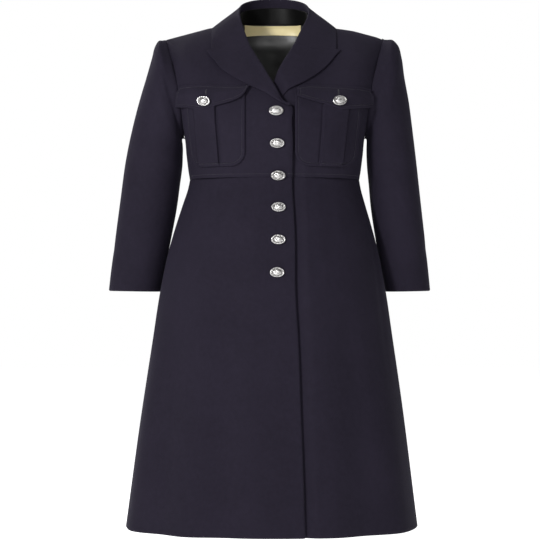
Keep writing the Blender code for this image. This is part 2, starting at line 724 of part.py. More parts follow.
# ------------------------------------------------------------------ lapels
def lapel(name, roll, edge, gorge, side):
    """A lapel folded back from the front edge: a tight roll, then cloth lying on the chest."""
    rolls, edges, gorges = ([(x * MM, z * MM) for x, z in path] for path in (roll, edge, gorge))
    gorges = [(x, z - SEAM_GAP) for x, z in gorges]
    fold_path = [p for p in rolls if p[1] < gorges[-1][1]] + [gorges[-1]]
    seam_line = [along(gorges[::-1], i / LAPEL_WIDE) for i in range(LAPEL_WIDE + 1)]
    outer, inner = [], []
    for k in range(LAPEL_HIGH + 1):
        share = k / LAPEL_HIGH
        fold, tip = along(fold_path, share), along(edges, share)
        bend = smoothstep(0.62, 1.0, share)
        line = []
        for i in range(LAPEL_WIDE + 1):
            across = i / LAPEL_WIDE
            straight = gorges[-1] + (np.array(gorges[0]) - gorges[-1]) * across
            line.append(fold + (tip - fold) * across + (seam_line[i] - straight) * bend)
        away = line[1] - line[0]
        away = away / max(np.linalg.norm(away), 1e-9)
        top, base = [], []
        for ahead, lift in section(LAPEL_ROLL):
            x, z = line[0] + away * ahead
            sink = lapel_sink(side, x, z)
            if side > 0:
                flat = LAYER_GAP + THIN_WALL
                lift = min(lift, flat + max(lift - flat, 0.0) * open_share(x, z))
            top.append(front_point(x, z, lift - sink))
            x, z = np.array([x, z]) + away * THIN_WALL
            base.append(front_point(x, z, max(lift - THIN_WALL, LAYER_GAP) - sink))
        for i in range(1, LAPEL_WIDE + 1):
            x, z = line[i]
            rest = LAPEL_REST + LAPEL_PUFF * math.sin(math.pi * i / LAPEL_WIDE) * (1 - share * 0.4)
            if side > 0:
                rest *= open_share(x, z)
            lift = LAYER_GAP + THIN_WALL + rest - lapel_sink(side, x, z)
            top.append(front_point(x, z, lift))
            base.append(front_point(x, z, lift - THIN_WALL))
        outer.append(top)
        inner.append(base)
    return raised_cloth(name, outer, inner, flip=side < 0)


def lapel_sink(side, x, z):
    """The left lapel goes down with the left front, under the right one."""
    return underlap_sink(x, z) if side > 0 else 0.0


# ------------------------------------------------------------------ pockets and flaps
def pocket(name, table, side):
    """A patch pocket with round lower corners and a box pleat down its middle."""
    size = {key: value * MM for key, value in zip(POCKET_COLUMNS, table)}
    outer, inner = [], []
    for k in range(POCKET_HIGH + 1):
        down = math.sin(math.pi / 2 * k / POCKET_HIGH) ** 0.9
        z = POCKET_TOP_Z + (POCKET_BOTTOM_Z - POCKET_TOP_Z) * down
        above = z - POCKET_BOTTOM_Z
        cut = 0.0
        if above < POCKET_CORNER:
            cut = POCKET_CORNER - math.sqrt(POCKET_CORNER ** 2 - (POCKET_CORNER - above) ** 2)
        left = size["inner"] + cut
        right = size["outer_top"] + (size["outer_low"] - size["outer_top"]) * down - cut
        fold1 = size["fold1_top"] + (size["fold1_low"] - size["fold1_top"]) * down
        fold2 = size["fold2_top"] + (size["fold2_low"] - size["fold2_top"]) * down
        fold2 = min(fold2, right - 3 * PLEAT_EDGE)
        places = [left + (fold1 - PLEAT_EDGE - left) * i / 4 for i in range(5)]
        places += [fold1 + (fold2 - fold1) * i / 4 for i in range(5)]
        places += [fold2 + PLEAT_EDGE + (right - fold2 - PLEAT_EDGE) * i / 4 for i in range(5)]
        top, base = [], []
        for i, place in enumerate(places):
            raised = PLEAT_RISE if 5 <= i <= 9 else 0.0
            top.append(front_point(side * place, z, POCKET_LIFT + THIN_WALL + raised))
            base.append(front_point(side * place, z, POCKET_LIFT))
        outer.append(top)
        inner.append(base)
    return raised_cloth(name, outer, inner, flip=side > 0)


def flap_point(x, z, lift):
    """The chest's surface carried on straight past the armhole, where the flap's corner reaches."""
    limit = FLAP_HOLD_X
    if abs(x) <= limit:
        return front_point(x, z, lift)
    side = math.copysign(1.0, x)
    near = front_point(side * (limit - 4 * MM), z, lift)
    edge = front_point(side * limit, z, lift)
    return edge + (edge - near) / (4 * MM) * (abs(x) - limit) * FLAP_STRAIGHT


def flap(name, table, side):
    """A pocket flap with a pointed lower edge, standing a little off the pocket."""
    data = {key: column(table, FLAP_COLUMNS, key) for key in FLAP_COLUMNS}
    outer, inner = [], []
    for k in range(FLAP_HIGH + 1):
        down = k / FLAP_HIGH
        lift = LAYER_GAP + THIN_WALL + (FLAP_STAND_OFF - LAYER_GAP - THIN_WALL) * smoothstep(0, 0.45, down)
        top, base = [], []
        for i in range(FLAP_WIDE + 1):
            x = data["x"][0] + (data["x"][-1] - data["x"][0]) * i / FLAP_WIDE
            high_z = np.interp(x, data["x"], data["top"])
            low_z = np.interp(x, data["x"], data["bottom"])
            z = high_z + (low_z - high_z) * down
            top.append(flap_point(side * x, z, lift))
            base.append(flap_point(side * x, z, lift - THIN_WALL))
        outer.append(top)
        inner.append(base)
    return raised_cloth(name, outer, inner, flip=side > 0)


# ------------------------------------------------------------------ collar, lining and label
def collar_section(place):
    """Seam, fold and outer edge at a place round the neck: -1 right front, 0 nape, 1 left front."""
    data = {key: column(COLLAR_HALF, COLLAR_COLUMNS, key) for key in COLLAR_COLUMNS}
    side = -1.0 if place < 0 else 1.0
    count = len(COLLAR_HALF) - 1
    at = (1 - abs(place)) * count
    keys = np.arange(count + 1, dtype=float)
    got = {key: smooth_at(keys, values, at) for key, values in data.items()}
    seam = np.array([side * got["seam_x"], got["seam_y"], got["seam_z"]])
    fold = np.array([side * got["fold_x"], got["fold_y"], got["fold_z"]])
    edge = np.array([side * got["edge_x"], got["edge_y"], got["edge_z"]])
    return seam, fold, edge


def collar_row(place):
    """One section of the collar: up the stand, over the fold and down the fall."""
    seam, fold, edge = collar_section(place)
    out = edge - fold
    out[2] = 0.0
    out /= np.linalg.norm(out)
    rise = (fold - seam) / np.linalg.norm(fold - seam)
    outside = fold + out * COLLAR_FOLD_WIDTH
    row = [seam + rise * COLLAR_FOOT, seam + (fold - seam) * 0.5, fold - rise * COLLAR_FOLD_WIDTH * 0.5]
    row += [fold + out * COLLAR_FOLD_WIDTH * 0.06, fold + out * COLLAR_FOLD_WIDTH * 0.5, outside]
    row[4][2] += COLLAR_FOLD_WIDTH * 0.27
    row[5][2] -= COLLAR_FOLD_WIDTH * 0.3
    for i in range(1, FALL_STEPS + 1):
        share = i / FALL_STEPS
        puff = COLLAR_PUFF * math.sin(math.pi * share)
        row.append(outside + (edge - outside) * share + out * puff + np.array([0, 0, puff]))
    return row


def gorge_row(side):
    """The collar's front end, along its seam with the lapel."""
    gorge = [(x * MM, z * MM) for x, z in (GORGE_LEFT if side > 0 else GORGE_RIGHT)][1:]
    path = gorge[::-1]
    row = []
    for ahead, lift in section(COLLAR_END):
        start = max(ahead, 0.0) / GORGE_LENGTH
        x, z = along(path, start)
        row.append(front_point(x + side * min(ahead, 0.0), z + GORGE_GAP, lift))
    for i in range(1, FALL_STEPS + 1):
        x, z = along(path, start + (1 - start) * i / FALL_STEPS)
        lift = LAYER_GAP + THIN_WALL + LAPEL_REST + GORGE_PUFF * math.sin(math.pi * i / FALL_STEPS)
        row.append(front_point(x, z + GORGE_GAP, lift))
    return row


def collar():
    rows = []
    ends = {side: (gorge_row(side), collar_row(side * 1.0)) for side in (-1, 1)}
    for k in range(COLLAR_STEPS + 1):
        place = -1 + 2 * k / COLLAR_STEPS
        row = collar_row(place)
        end, plain = ends[-1 if place < 0 else 1]
        share = smoothstep(0.62, 1.0, abs(place))
        rows.append([point + (a - b) * share for point, a, b in zip(row, end, plain)])
    return cloth("collar", rows, thickness=THIN_WALL, flip=True)


def stand_lining():
    """Satin inside the collar stand, from the neck seam to just below the fold."""
    rows = []
    for k in range(STAND_STEPS + 1):
        place = (-1 + 2 * k / STAND_STEPS) * STAND_REACH
        seam, fold, edge = collar_section(place)
        inward = fold - edge
        inward[2] = 0.0
        inward /= np.linalg.norm(inward)
        rows.append([seam + (fold - seam) * t + inward * (STAND_GAP + LINING_WALL) for t in STAND_SHARES])
    return cloth("collar_stand_lining", rows, LINING_WALL, LINING, flip=True)


def neck_label():
    """A plain woven label on the back lining, just below the neck seam."""
    depth = WALL + LINING_LIFT + 2 * LINING_WALL + LABEL_LIFT
    rows = []
    for k in range(LABEL_HIGH + 1):
        row = []
        for i in range(LABEL_WIDE + 1):
            x = LABEL_LEFT + (LABEL_RIGHT - LABEL_LEFT) * i / LABEL_WIDE
            z = back_neck_z(x) - LABEL_DROP - LABEL_TALL * k / LABEL_HIGH
            row.append(back_point(x, z, -depth))
        rows.append(row)
    return cloth("neck_label", rows, LINING_WALL, LABEL)


def back_lining():
    """The satin lining inside the back, which shows through the neck opening."""
    rows = back_rows()
    normals = grid_normals(rows)
    outer = np.array(rows) + normals * (WALL + LINING_LIFT)
    inner = outer + normals * LINING_WALL
    within = np.s_[4:-1, 6:-6]
    return raised_cloth("back_lining", outer[within], inner[within], LINING, flip=True)


def sew_button(name, x, z, tilt, width, off):
    """Sets a button square on the cloth below it."""
    if z > WAIST_SEAM_Z:
        point = front_point(x, z, off)
        normal = front_point(x, z, 10 * MM) - front_point(x, z)
    else:
        angle = skirt_angle(x, z)
        point = skirt_point(angle, z)
        normal = np.cross(skirt_point(angle + 1, z) - point, skirt_point(angle, z + 5 * MM) - point)
    button(name, point, normal, tilt, width)


bodice_fronts()
bodice_back()
skirt()
sleeve("sleeve_right", SLEEVE_RIGHT, -1)
sleeve("sleeve_left", SLEEVE_LEFT, 1)
lapel("lapel_right", ROLL_RIGHT, LAPEL_RIGHT, GORGE_RIGHT, -1)
lapel("lapel_left", ROLL_LEFT, LAPEL_LEFT, GORGE_LEFT, 1)
pocket("pocket_right", POCKET_RIGHT, -1)
pocket("pocket_left", POCKET_LEFT, 1)
flap("pocket_flap_right", FLAP_RIGHT, -1)
flap("pocket_flap_left", FLAP_LEFT, 1)
collar()
stand_lining()
back_lining()
neck_label()
for name, x, z, tilt, width, off in BUTTONS:
    sew_button(name, x * MM, z * MM, tilt, width * MM, off * MM)
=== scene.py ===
# Military-style coat, filled out as if worn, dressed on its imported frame.
# Metres, +Z up, the coat's front faces -Y, +X is the wearer's left. Tables are in millimetres.
import math

import bpy
import numpy as np
from mathutils import Matrix, Vector


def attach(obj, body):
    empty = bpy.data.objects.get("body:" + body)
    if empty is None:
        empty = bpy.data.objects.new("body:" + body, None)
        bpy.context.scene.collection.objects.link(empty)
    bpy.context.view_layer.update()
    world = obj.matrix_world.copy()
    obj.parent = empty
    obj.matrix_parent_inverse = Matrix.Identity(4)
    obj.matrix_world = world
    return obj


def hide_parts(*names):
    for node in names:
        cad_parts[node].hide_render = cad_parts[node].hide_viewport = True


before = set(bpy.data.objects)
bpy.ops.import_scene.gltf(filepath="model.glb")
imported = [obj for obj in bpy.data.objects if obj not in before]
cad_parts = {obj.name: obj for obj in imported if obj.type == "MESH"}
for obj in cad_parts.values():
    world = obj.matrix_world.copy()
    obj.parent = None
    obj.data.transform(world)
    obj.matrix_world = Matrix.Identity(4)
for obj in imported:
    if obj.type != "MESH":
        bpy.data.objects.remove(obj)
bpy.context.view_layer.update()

mm = 0.001
bothSides = ((-1, "right"), (1, "left"))
print("frame loaded:", len(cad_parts), "nodes")


# Curves and tables.
def table(rows, columns):
    return {name: np.array([row[k] for row in rows], float) * mm for k, name in enumerate(columns)}


def pairs(path):
    return np.array(path, float) * mm


def unit(vectors):
    return vectors / np.maximum(np.linalg.norm(vectors, axis=-1, keepdims=True), 1e-12)


def mixed(start, end, share):
    return start + (end - start) * share


def bump(distance, width):  # soft and 1 high
    return np.exp(-(distance / width) ** 2)


def signedPower(value, power):
    return np.sign(value) * np.abs(value) ** power


def fade(low, high, value):  # soft step from 0 to 1
    t = np.clip((np.asarray(value, float) - low) / (high - low), 0.0, 1.0)
    return t * t * (3 - 2 * t)


def runOf(gaps):  # lengths from the start
    return np.concatenate([[0.0], np.cumsum(gaps)])


def stepsOf(points, axis=0):  # lengths of the steps between neighbours
    return np.linalg.norm(np.diff(points, axis=axis), axis=-1)


def smoothAt(keys, values, at):  # smooth curve through keys; values may be points or whole rows
    keys, values = np.asarray(keys, float), np.asarray(values, float)
    if keys[0] > keys[-1]:
        keys, values = keys[::-1], values[::-1]
    slopes = np.gradient(values, keys, axis=0)
    at = np.clip(np.asarray(at, float), keys[0], keys[-1])
    i = np.clip(np.searchsorted(keys, at, side="right") - 1, 0, len(keys) - 2)
    grow = (...,) + (None,) * (values.ndim - 1)
    span = (keys[i + 1] - keys[i])[grow]
    t = ((at - keys[i]) / (keys[i + 1] - keys[i]))[grow]
    start = values[i] * (1 + 2 * t) * (1 - t) ** 2 + slopes[i] * span * t * (1 - t) ** 2
    end = values[i + 1] * t * t * (3 - 2 * t) + slopes[i + 1] * span * t * t * (t - 1)
    return start + end


def along(points, shares):  # places at shares of a smooth path's length
    points = np.asarray(points, float)
    length = runOf(stepsOf(points))
    return smoothAt(length, points, np.asarray(shares, float) * length[-1])


def denser(count, ends=3):  # shares that crowd a little towards both ends
    s = np.linspace(0, 1, count)
    return s + np.sin(2 * np.pi * s) * -0.02 * ends


def spreadColumns(grid, cols, crowd):  # a smooth finer grid through the columns of a coarse one
    keys = runOf(stepsOf(grid, 1).mean(axis=0) ** crowd)
    at = np.linspace(0, keys[-1], cols)
    return np.swapaxes(smoothAt(keys, np.swapaxes(grid, 0, 1), at), 0, 1)


# A soft crease from one place to another. Where the first measure goes round, it is in degrees.
def crease(depth, start, end, width, taper, x, z, turning=False):
    start, line = np.array(start), np.array(end) - np.array(start)
    length = np.linalg.norm(line)
    line = line / length
    x, z = x - start[0], z - start[1]
    if turning:
        x = (x + 180) % 360 - 180
    alongIt, across = x * line[0] + z * line[1], x * -line[1] + z * line[0]
    ends = fade(0, taper * length, alongIt) * fade(0, taper * length, length - alongIt)
    return depth * ends * bump(across, width)


# Form of the body, the same as the solids'.
body = {
    "squareness": 2.45, "skirtSquareness": 2.12,
    "shoulderTop": 19.5 * mm, "shoulderSlope": 0.268, "slopeFrom": 50 * mm, "neckPointX": 66 * mm,
    "napeRise": 42 * mm, "napeFrom": -30 * mm, "neckBackZ": 20 * mm, "waistZ": -270 * mm, "hemZ": -890 * mm,
    "breakZ": -147 * mm, "shoulderTip": (196.5 * mm, -20 * mm), "underarm": (161.5 * mm, -192 * mm),
    "armholeBow": 6 * mm, "seamGap": -0.3 * mm, "layerGap": 0.6 * mm, "thinWall": 1.4 * mm,
    "topPower": 1.5, "topRoot": 1.7, "frontReach": (200, 95), "backReach": (160, 65), "reachFrom": 70 * mm,
    "reachTo": 165 * mm, "chestShift": 10 * mm, "chestFrom": -260 * mm, "steepest": 2.5, "step": 2 * mm,
    "creaseTaper": 0.35, "normalReach": 10 * mm,
}
# The pads lift the ends of the shoulders, more on the wearer's left.
pads = {"right": 2.7, "left": 5.0, "leftEnd": -1.6, "start": 95 * mm, "rightFull": 120 * mm,
        "leftFull": 150 * mm, "endFrom": 182 * mm, "endFull": 200 * mm}
# The left front lies deeper than the right one that covers it, and sinks most beside its edge.
underlap = {"x": -32 * mm, "lean": 20 * mm, "sink": 7.6 * mm, "hemSink": 5.4 * mm, "hemFrom": -300 * mm,
            "chestFrom": -170 * mm, "start": 4 * mm, "width": 22 * mm, "groove": 3 * mm, "grooveOff": 2 * mm,
            "grooveWidth": 3.2 * mm, "clearFrom": 2 * mm, "clearWidth": 20 * mm}
bodyRings = table((
    (60, 214, 112, 108, 1.5), (0, 213, 117, 112, 1.5), (-50, 206, 121, 114, 1.2),
    (-110, 190, 127, 115, 1.0), (-150, 176, 129, 113, 1.0), (-192, 161.5, 127, 109, 1.0),
    (-227, 158, 120, 103, 1.0), (-256, 154.5, 113, 98, 1.0), (-270, 152.5, 111, 97, 1.0),
    (-284, 154.7, 113, 99, 0.8), (-313, 163.3, 119, 107, 0.0), (-349, 174.5, 127, 118, -0.6),
    (-394, 187.0, 134, 129, -1.2), (-468, 202.0, 140, 138, -1.8), (-558, 215.4, 144, 144, -2.4),
    (-702, 236.8, 149, 150, -3.2), (-890, 261.8, 155, 158, -4.0),
), ("z", "half", "front", "back", "centre"))
edgeRows = table((
    (-147, 27.5), (-204, 31.5), (-280, 30.5), (-370, 35), (-472, 36), (-560, 41), (-679, 45),
    (-798, 49.5), (-890, 52),
), ("z", "x"))
rolls = {
    -1: pairs((
        (27.5, -147), (19, -145), (14.5, -140), (9.5, -130.5), (3, -118), (-3, -107),
        (-11.5, -92.5), (-19.6, -78), (-34, -54), (-49.5, -22), (-57, 2), (-66, 15.2),
    )),
    1: pairs((
        (-14, -147), (-9, -128), (-3, -111), (2.3, -97), (8.4, -83.7), (18, -65.6),
        (28, -49), (39, -30), (48, -17), (56, 1), (66, 15.2),
    )),
}


def ring(name, z):
    return smoothAt(bodyRings["z"], bodyRings[name], z)


def edgeX(z):
    return smoothAt(edgeRows["z"], edgeRows["x"], z)


def padLift(x):
    left = pads["left"] * fade(pads["start"], pads["leftFull"], x)
    left = left + pads["leftEnd"] * fade(pads["endFrom"], pads["endFull"], x)
    return (pads["right"] * fade(pads["start"], pads["rightFull"], -x) + left) * mm


def shoulderLine(x):  # level at the nape, straight from the neck's side to the shoulder's end
    away, neck = np.abs(x), body["neckPointX"]
    away = np.where(away < neck, (neck + away * away / neck) / 2, away)
    return body["shoulderTop"] - body["shoulderSlope"] * (away - body["slopeFrom"]) + padLift(x)


def napeRise(x, z):
    t = np.minimum(np.abs(x) / body["neckPointX"], 1.0)
    return body["napeRise"] * np.sqrt(1 - t * t) * fade(body["napeFrom"], body["neckBackZ"], z)


def bodyDepth(x, z, name, top):  # rounds in towards the sides and towards the shoulders
    share = np.abs(x - ring("centre", z)) / ring("half", z)
    sideRoll = (1 - np.minimum(share, 1.0) ** body["squareness"]) ** (1 / body["squareness"])
    tall, less = body[name + "Reach"]
    reach = (tall - less * fade(body["reachFrom"], body["reachTo"], np.abs(x))) * mm
    t = np.clip((top - z) / reach, 0.0, 1.0)
    return ring(name, z) * sideRoll * (1 - (1 - t) ** body["topPower"]) ** (1 / body["topRoot"])


def middleY(z):
    return body["chestShift"] * fade(body["chestFrom"], 0.0, z)


def frontY(x, z):
    return middleY(z) - bodyDepth(x, z, "front", shoulderLine(x))


def backY(x, z):
    return middleY(z) + bodyDepth(x, z, "back", shoulderLine(x) + napeRise(x, z))


# Creases: from one place to another, how far each stands out, how wide it is.
frontCreases = (
    (-168, -150, -118, -262, 1.1, 13), (-150, -120, -60, -262, -0.7, 16), (-196, -40, -150, -130, -1.6, 9),
    (-178, -30, -120, -100, 0.8, 12), (-60, -170, 20, -262, 0.6, 14), (172, -146, 128, -262, 1.2, 13),
    (150, -110, 92, -262, -0.8, 15), (199, -44, 160, -128, -1.5, 9), (180, -30, 128, -96, 0.9, 12),
    (62, -150, 110, -262, 0.7, 14), (-128, -20, -96, -92, 0.7, 15), (126, -20, 100, -90, 0.6, 15),
    (-20, -175, 26, -176, 0.5, 10), (-24, -300, 30, -296, 0.5, 12), (-70, -40, -104, -104, -0.5, 12),
)
backCreases = (
    (-150, -60, -40, -130, 1.2, 18), (150, -50, 50, -128, 1.1, 18), (-160, -130, -90, -262, -1.1, 16),
    (160, -138, 96, -262, -1.2, 16), (-60, 8, 50, 6, -0.8, 9), (-120, -190, 100, -206, 0.9, 15),
    (-70, -238, 88, -232, -0.8, 11), (-176, -60, -150, -140, -1.2, 10), (178, -64, 150, -150, -1.1, 10),
)


def creases(rows, x, z):
    total = np.zeros(np.broadcast(x, z).shape)
    for row in rows:
        fromX, fromZ, toX, toZ, depth, width = (value * mm for value in row)
        total = total + crease(depth, (fromX, fromZ), (toX, toZ), width, body["creaseTaper"], x, z)
    return total


def surfacePoint(depth, x, z, lift, facing, rows):
    x, z = np.broadcast_arrays(np.asarray(x, float), np.asarray(z, float))
    step, limit = body["step"], body["steepest"]
    slopeX = np.clip((depth(x + step, z) - depth(x - step, z)) / (2 * step), -limit, limit)
    slopeZ = np.clip((depth(x, z + step) - depth(x, z - step)) / (2 * step), -limit, limit)
    normal = unit(np.stack([-slopeX, np.ones_like(x), -slopeZ], axis=-1) * facing)
    lift = lift + creases(rows, x, z)
    return np.stack([x, depth(x, z), z], axis=-1) + normal * np.asarray(lift)[..., None]


def frontPoint(x, z, lift=0.0):
    return surfacePoint(frontY, x, z, lift, -1.0, frontCreases)


def backPoint(x, z, lift=0.0):
    return surfacePoint(backY, x, z, lift, 1.0, backCreases)


def frontOut(x, z):  # away from the front, not yet a unit long
    return frontPoint(x, z, body["normalReach"]) - frontPoint(x, z)


# Cloth shells.
def outwardNormals(grid, closed=False):  # away from the sleeve's middle, or from the coat's
    if closed:
        wrapped = np.concatenate([grid[:, -2:-1], grid[:, :-1], grid[:, :1], grid[:, 1:2]], axis=1)
        across = np.gradient(wrapped, axis=1)[:, 1:-1]
    else:
        across = np.gradient(grid, axis=1)
    normals = unit(np.cross(across, np.gradient(grid, axis=0)))
    middle = grid.mean(axis=1, keepdims=True) if closed else grid * np.array([0, 0, 1.0])
    return normals * np.sign((normals * (grid - middle)).sum())


def gridUv(grid):  # metres along the cloth's weft and warp
    return np.stack(np.meshgrid(runOf(stepsOf(grid, 1).mean(axis=0)), runOf(stepsOf(grid).mean(axis=1))), axis=-1)


def panelUv(depth, x, z, steps=20):  # the same on a panel of the body, with the warp kept upright
    x, z = np.broadcast_arrays(x, z)
    low, step, limit = body["waistZ"], 1 * mm, 4
    wide, tall = 0.0, 0.0
    for k in range(steps):
        t = (k + 0.5) / steps
        slopeX = (depth(x * t + step, z) - depth(x * t - step, z)) / (2 * step)
        there = mixed(low, z, t)
        slopeZ = (depth(x, there + step) - depth(x, there - step)) / (2 * step)
        wide = wide + np.sqrt(1 + np.clip(slopeX, -limit, limit) ** 2) / steps
        tall = tall + np.sqrt(1 + np.clip(slopeZ, -limit, limit) ** 2) / steps
    return np.stack([x * wide, (z - low) * tall], axis=-1)


def makeObject(name, mesh):
    made = bpy.data.objects.new(name, mesh)
    bpy.context.scene.collection.objects.link(made)
    return made


def makeMesh(name, points, faces, materials, slots=None, uv=None):
    mesh = bpy.data.meshes.new(name)
    mesh.from_pydata([tuple(p) for p in points], [], [tuple(f) for f in faces])
    mesh.polygons.foreach_set("use_smooth", np.ones(len(faces), bool))
    for material in materials:
        mesh.materials.append(material)
    if slots is not None:
        mesh.polygons.foreach_set("material_index", np.asarray(slots, np.int32))
    if uv is not None:
        layer = mesh.uv_layers.new(name="cloth")
        loops = np.empty(len(mesh.loops), np.int32)
        mesh.loops.foreach_get("vertex_index", loops)
        layer.data.foreach_set("uv", np.asarray(uv, np.float32)[loops].ravel())
    mesh.update()
    return makeObject(name, mesh)


def edgeDistance(grid, side):  # how far each point is from one side of its sheet, along the cloth
    axis = 0 if side in ("top", "bottom") else 1
    steps = stepsOf(grid, axis)
    run = np.concatenate([np.zeros_like(steps.take([0], axis)), np.cumsum(steps, axis=axis)], axis=axis)
    return run if side in ("bottom", "left") else run.take([-1], axis) - run


def seamed(grid, depths, closed=False):  # sides sewn to another piece roll in; a depth and width for each
    lift = 0.0
    for side, (depth, width) in depths.items():
        lift = lift + depth * mm * bump(edgeDistance(grid, side), width * mm)
    return grid + outwardNormals(grid, closed) * lift[..., None]


# A closed sheet over a table of outer points: inner side, and a rounded edge all round.
# wall is one thickness or one for each point; inside names the material of the inner side.
def clothShell(name, grid, wall, outside, inside=None, closed=False, hemRows=0, uv=None):
    wall = np.broadcast_to(wall, grid.shape[:2])[..., None]
    inner = grid - outwardNormals(grid, closed) * wall
    uv = gridUv(grid) if uv is None else uv
    if closed:
        grid, inner, uv, wall = (a[:, :-1] for a in (grid, inner, uv, wall))
    rows, cols = grid.shape[:2]
    count = rows * cols
    index = np.arange(count).reshape(rows, cols)
    here, following = (index, np.roll(index, -1, axis=1)) if closed else (index[:, :-1], index[:, 1:])
    outer = np.stack([here[:-1], following[:-1], following[1:], here[1:]], axis=-1).reshape(-1, 4)
    lined = np.repeat(np.arange(rows - 1) < rows - 1 - hemRows, here.shape[1]) & (inside is not None)
    top = [(0, c) for c in range(cols)]
    bottom = [(rows - 1, c) for c in range(cols - 1, -1, -1)]
    if closed:
        rims = [top, bottom]
    else:
        right, left = [(r, cols - 1) for r in range(1, rows - 1)], [(r, 0) for r in range(rows - 2, 0, -1)]
        rims = [top + right + bottom + left]
    points, uvs = [grid.reshape(-1, 3), inner.reshape(-1, 3)], [uv.reshape(-1, 2)] * 2
    faces, start = [outer, outer[:, ::-1] + count], count * 2
    for rim in rims:
        r, c = np.array(rim).T
        away = unit(grid[r, c] - grid[np.clip(r, 1, rows - 2), c if closed else np.clip(c, 1, cols - 2)])
        points.append((grid[r, c] + inner[r, c]) / 2 + away * wall[r, c] * 0.5)
        uvs.append(uv[r, c])
        k = np.arange(len(rim))
        j = (k + 1) % len(rim)
        upper, lower, mid = index[r, c], index[r, c] + count, start + k
        faces.append(np.stack([upper[k], mid[k], mid[j], upper[j]], axis=-1))
        faces.append(np.stack([mid[k], lower[k], lower[j], mid[j]], axis=-1))
        start += len(rim)
    slots = np.concatenate([np.zeros(len(outer), int), lined, np.zeros(sum(map(len, faces[2:])), int)])
    faces, points = np.concatenate(faces), np.concatenate(points)
    corner = points[faces]
    turned = np.cross(corner[:, 2] - corner[:, 0], corner[:, 3] - corner[:, 1])
    if (corner.mean(axis=1) * turned).sum() < 0:
        faces = faces[:, ::-1]
    materials = [outside] if inside is None else [outside, inside]
    return makeMesh(name, points, faces, materials, slots, np.concatenate(uvs))


def gridArea(grid):
    first = np.cross(grid[1:, :-1] - grid[:-1, :-1], grid[:-1, 1:] - grid[:-1, :-1])
    second = np.cross(grid[:-1, 1:] - grid[1:, 1:], grid[1:, :-1] - grid[1:, 1:])
    return float((np.linalg.norm(first, axis=2) + np.linalg.norm(second, axis=2)).sum() / 2)


def dress(made, nodes, slotName, grid=None, held="hung"):
    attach(made, "root")
    if nodes:
        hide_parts(*nodes)
    if grid is not None:
        wide = float(stepsOf(grid, 1).sum(axis=1).max())
        tall = float(stepsOf(grid).sum(axis=0).max())
        area = min(gridArea(grid), wide * tall)


# Materials.
shaderOutputs = {
    "UVMap": "UV", "TexCoord": "Object", "Mapping": "Vector", "TexNoise": "Fac", "TexWave": "Fac",
    "Attribute": "Fac", "MapRange": "Result", "Mix": "Result", "Math": "Value", "Bump": "Normal",
}


def isSocket(value):
    return isinstance(value, bpy.types.NodeSocket)


def newMaterial(name):
    made = bpy.data.materials.new(name)
    made.use_nodes = True
    tree = made.node_tree

    def setInputs(node, inputs):
        for key, value in inputs.items():
            if isSocket(value):
                tree.links.new(value, node.inputs[key])
            else:
                node.inputs[key].default_value = value

    def add(kind, inputs=None, **settings):
        node = tree.nodes.new("ShaderNode" + kind)
        for key, value in settings.items():
            setattr(node, key, value)
        setInputs(node, inputs or {})
        return node.outputs[shaderOutputs[kind]]

    def finish(inputs):
        setInputs(tree.nodes["Principled BSDF"], inputs)
        return made

    return add, finish


def noise(add, place, scale, detail=2.0, roughness=0.5):
    return add("TexNoise", {"Vector": place, "Scale": scale, "Detail": detail, "Roughness": roughness})


def ramp(add, value, low, high, toLow, toHigh):
    return add("MapRange", {"Value": value, "From Min": low, "From Max": high, "To Min": toLow, "To Max": toHigh})


def tinted(add, factor, first, second):
    first, second = (c if isSocket(c) else (*c, 1.0) for c in (first, second))
    return add("Mix", {"Factor": factor, "A": first, "B": second}, data_type="RGBA")


def bumped(add, height, strength, distance, under=None):
    inputs = {"Height": height, "Strength": strength, "Distance": distance}
    return add("Bump", {**inputs, "Normal": under} if under else inputs)


def waveScale(pitch):
    return 2 * math.pi / (20 * pitch)


wool = {
    "dark": (0.0076, 0.0059, 0.0120), "light": (0.0126, 0.0100, 0.0192), "fleck": (0.020, 0.0170, 0.029),
    "broad": 9.0, "fibre": 1500.0, "patchy": 130.0, "slub": (260.0, 2600.0, 1.0), "ribShade": 0.72,
    "twillPitch": 0.0011, "twillTurn": 58, "roughness": (0.78, 0.92), "shine": 0.12,
    "sheen": 0.03, "sheenRough": 0.45, "sheenTint": (0.55, 0.50, 0.80), "twillDeep": 0.28, "fibreDeep": 0.25,
}


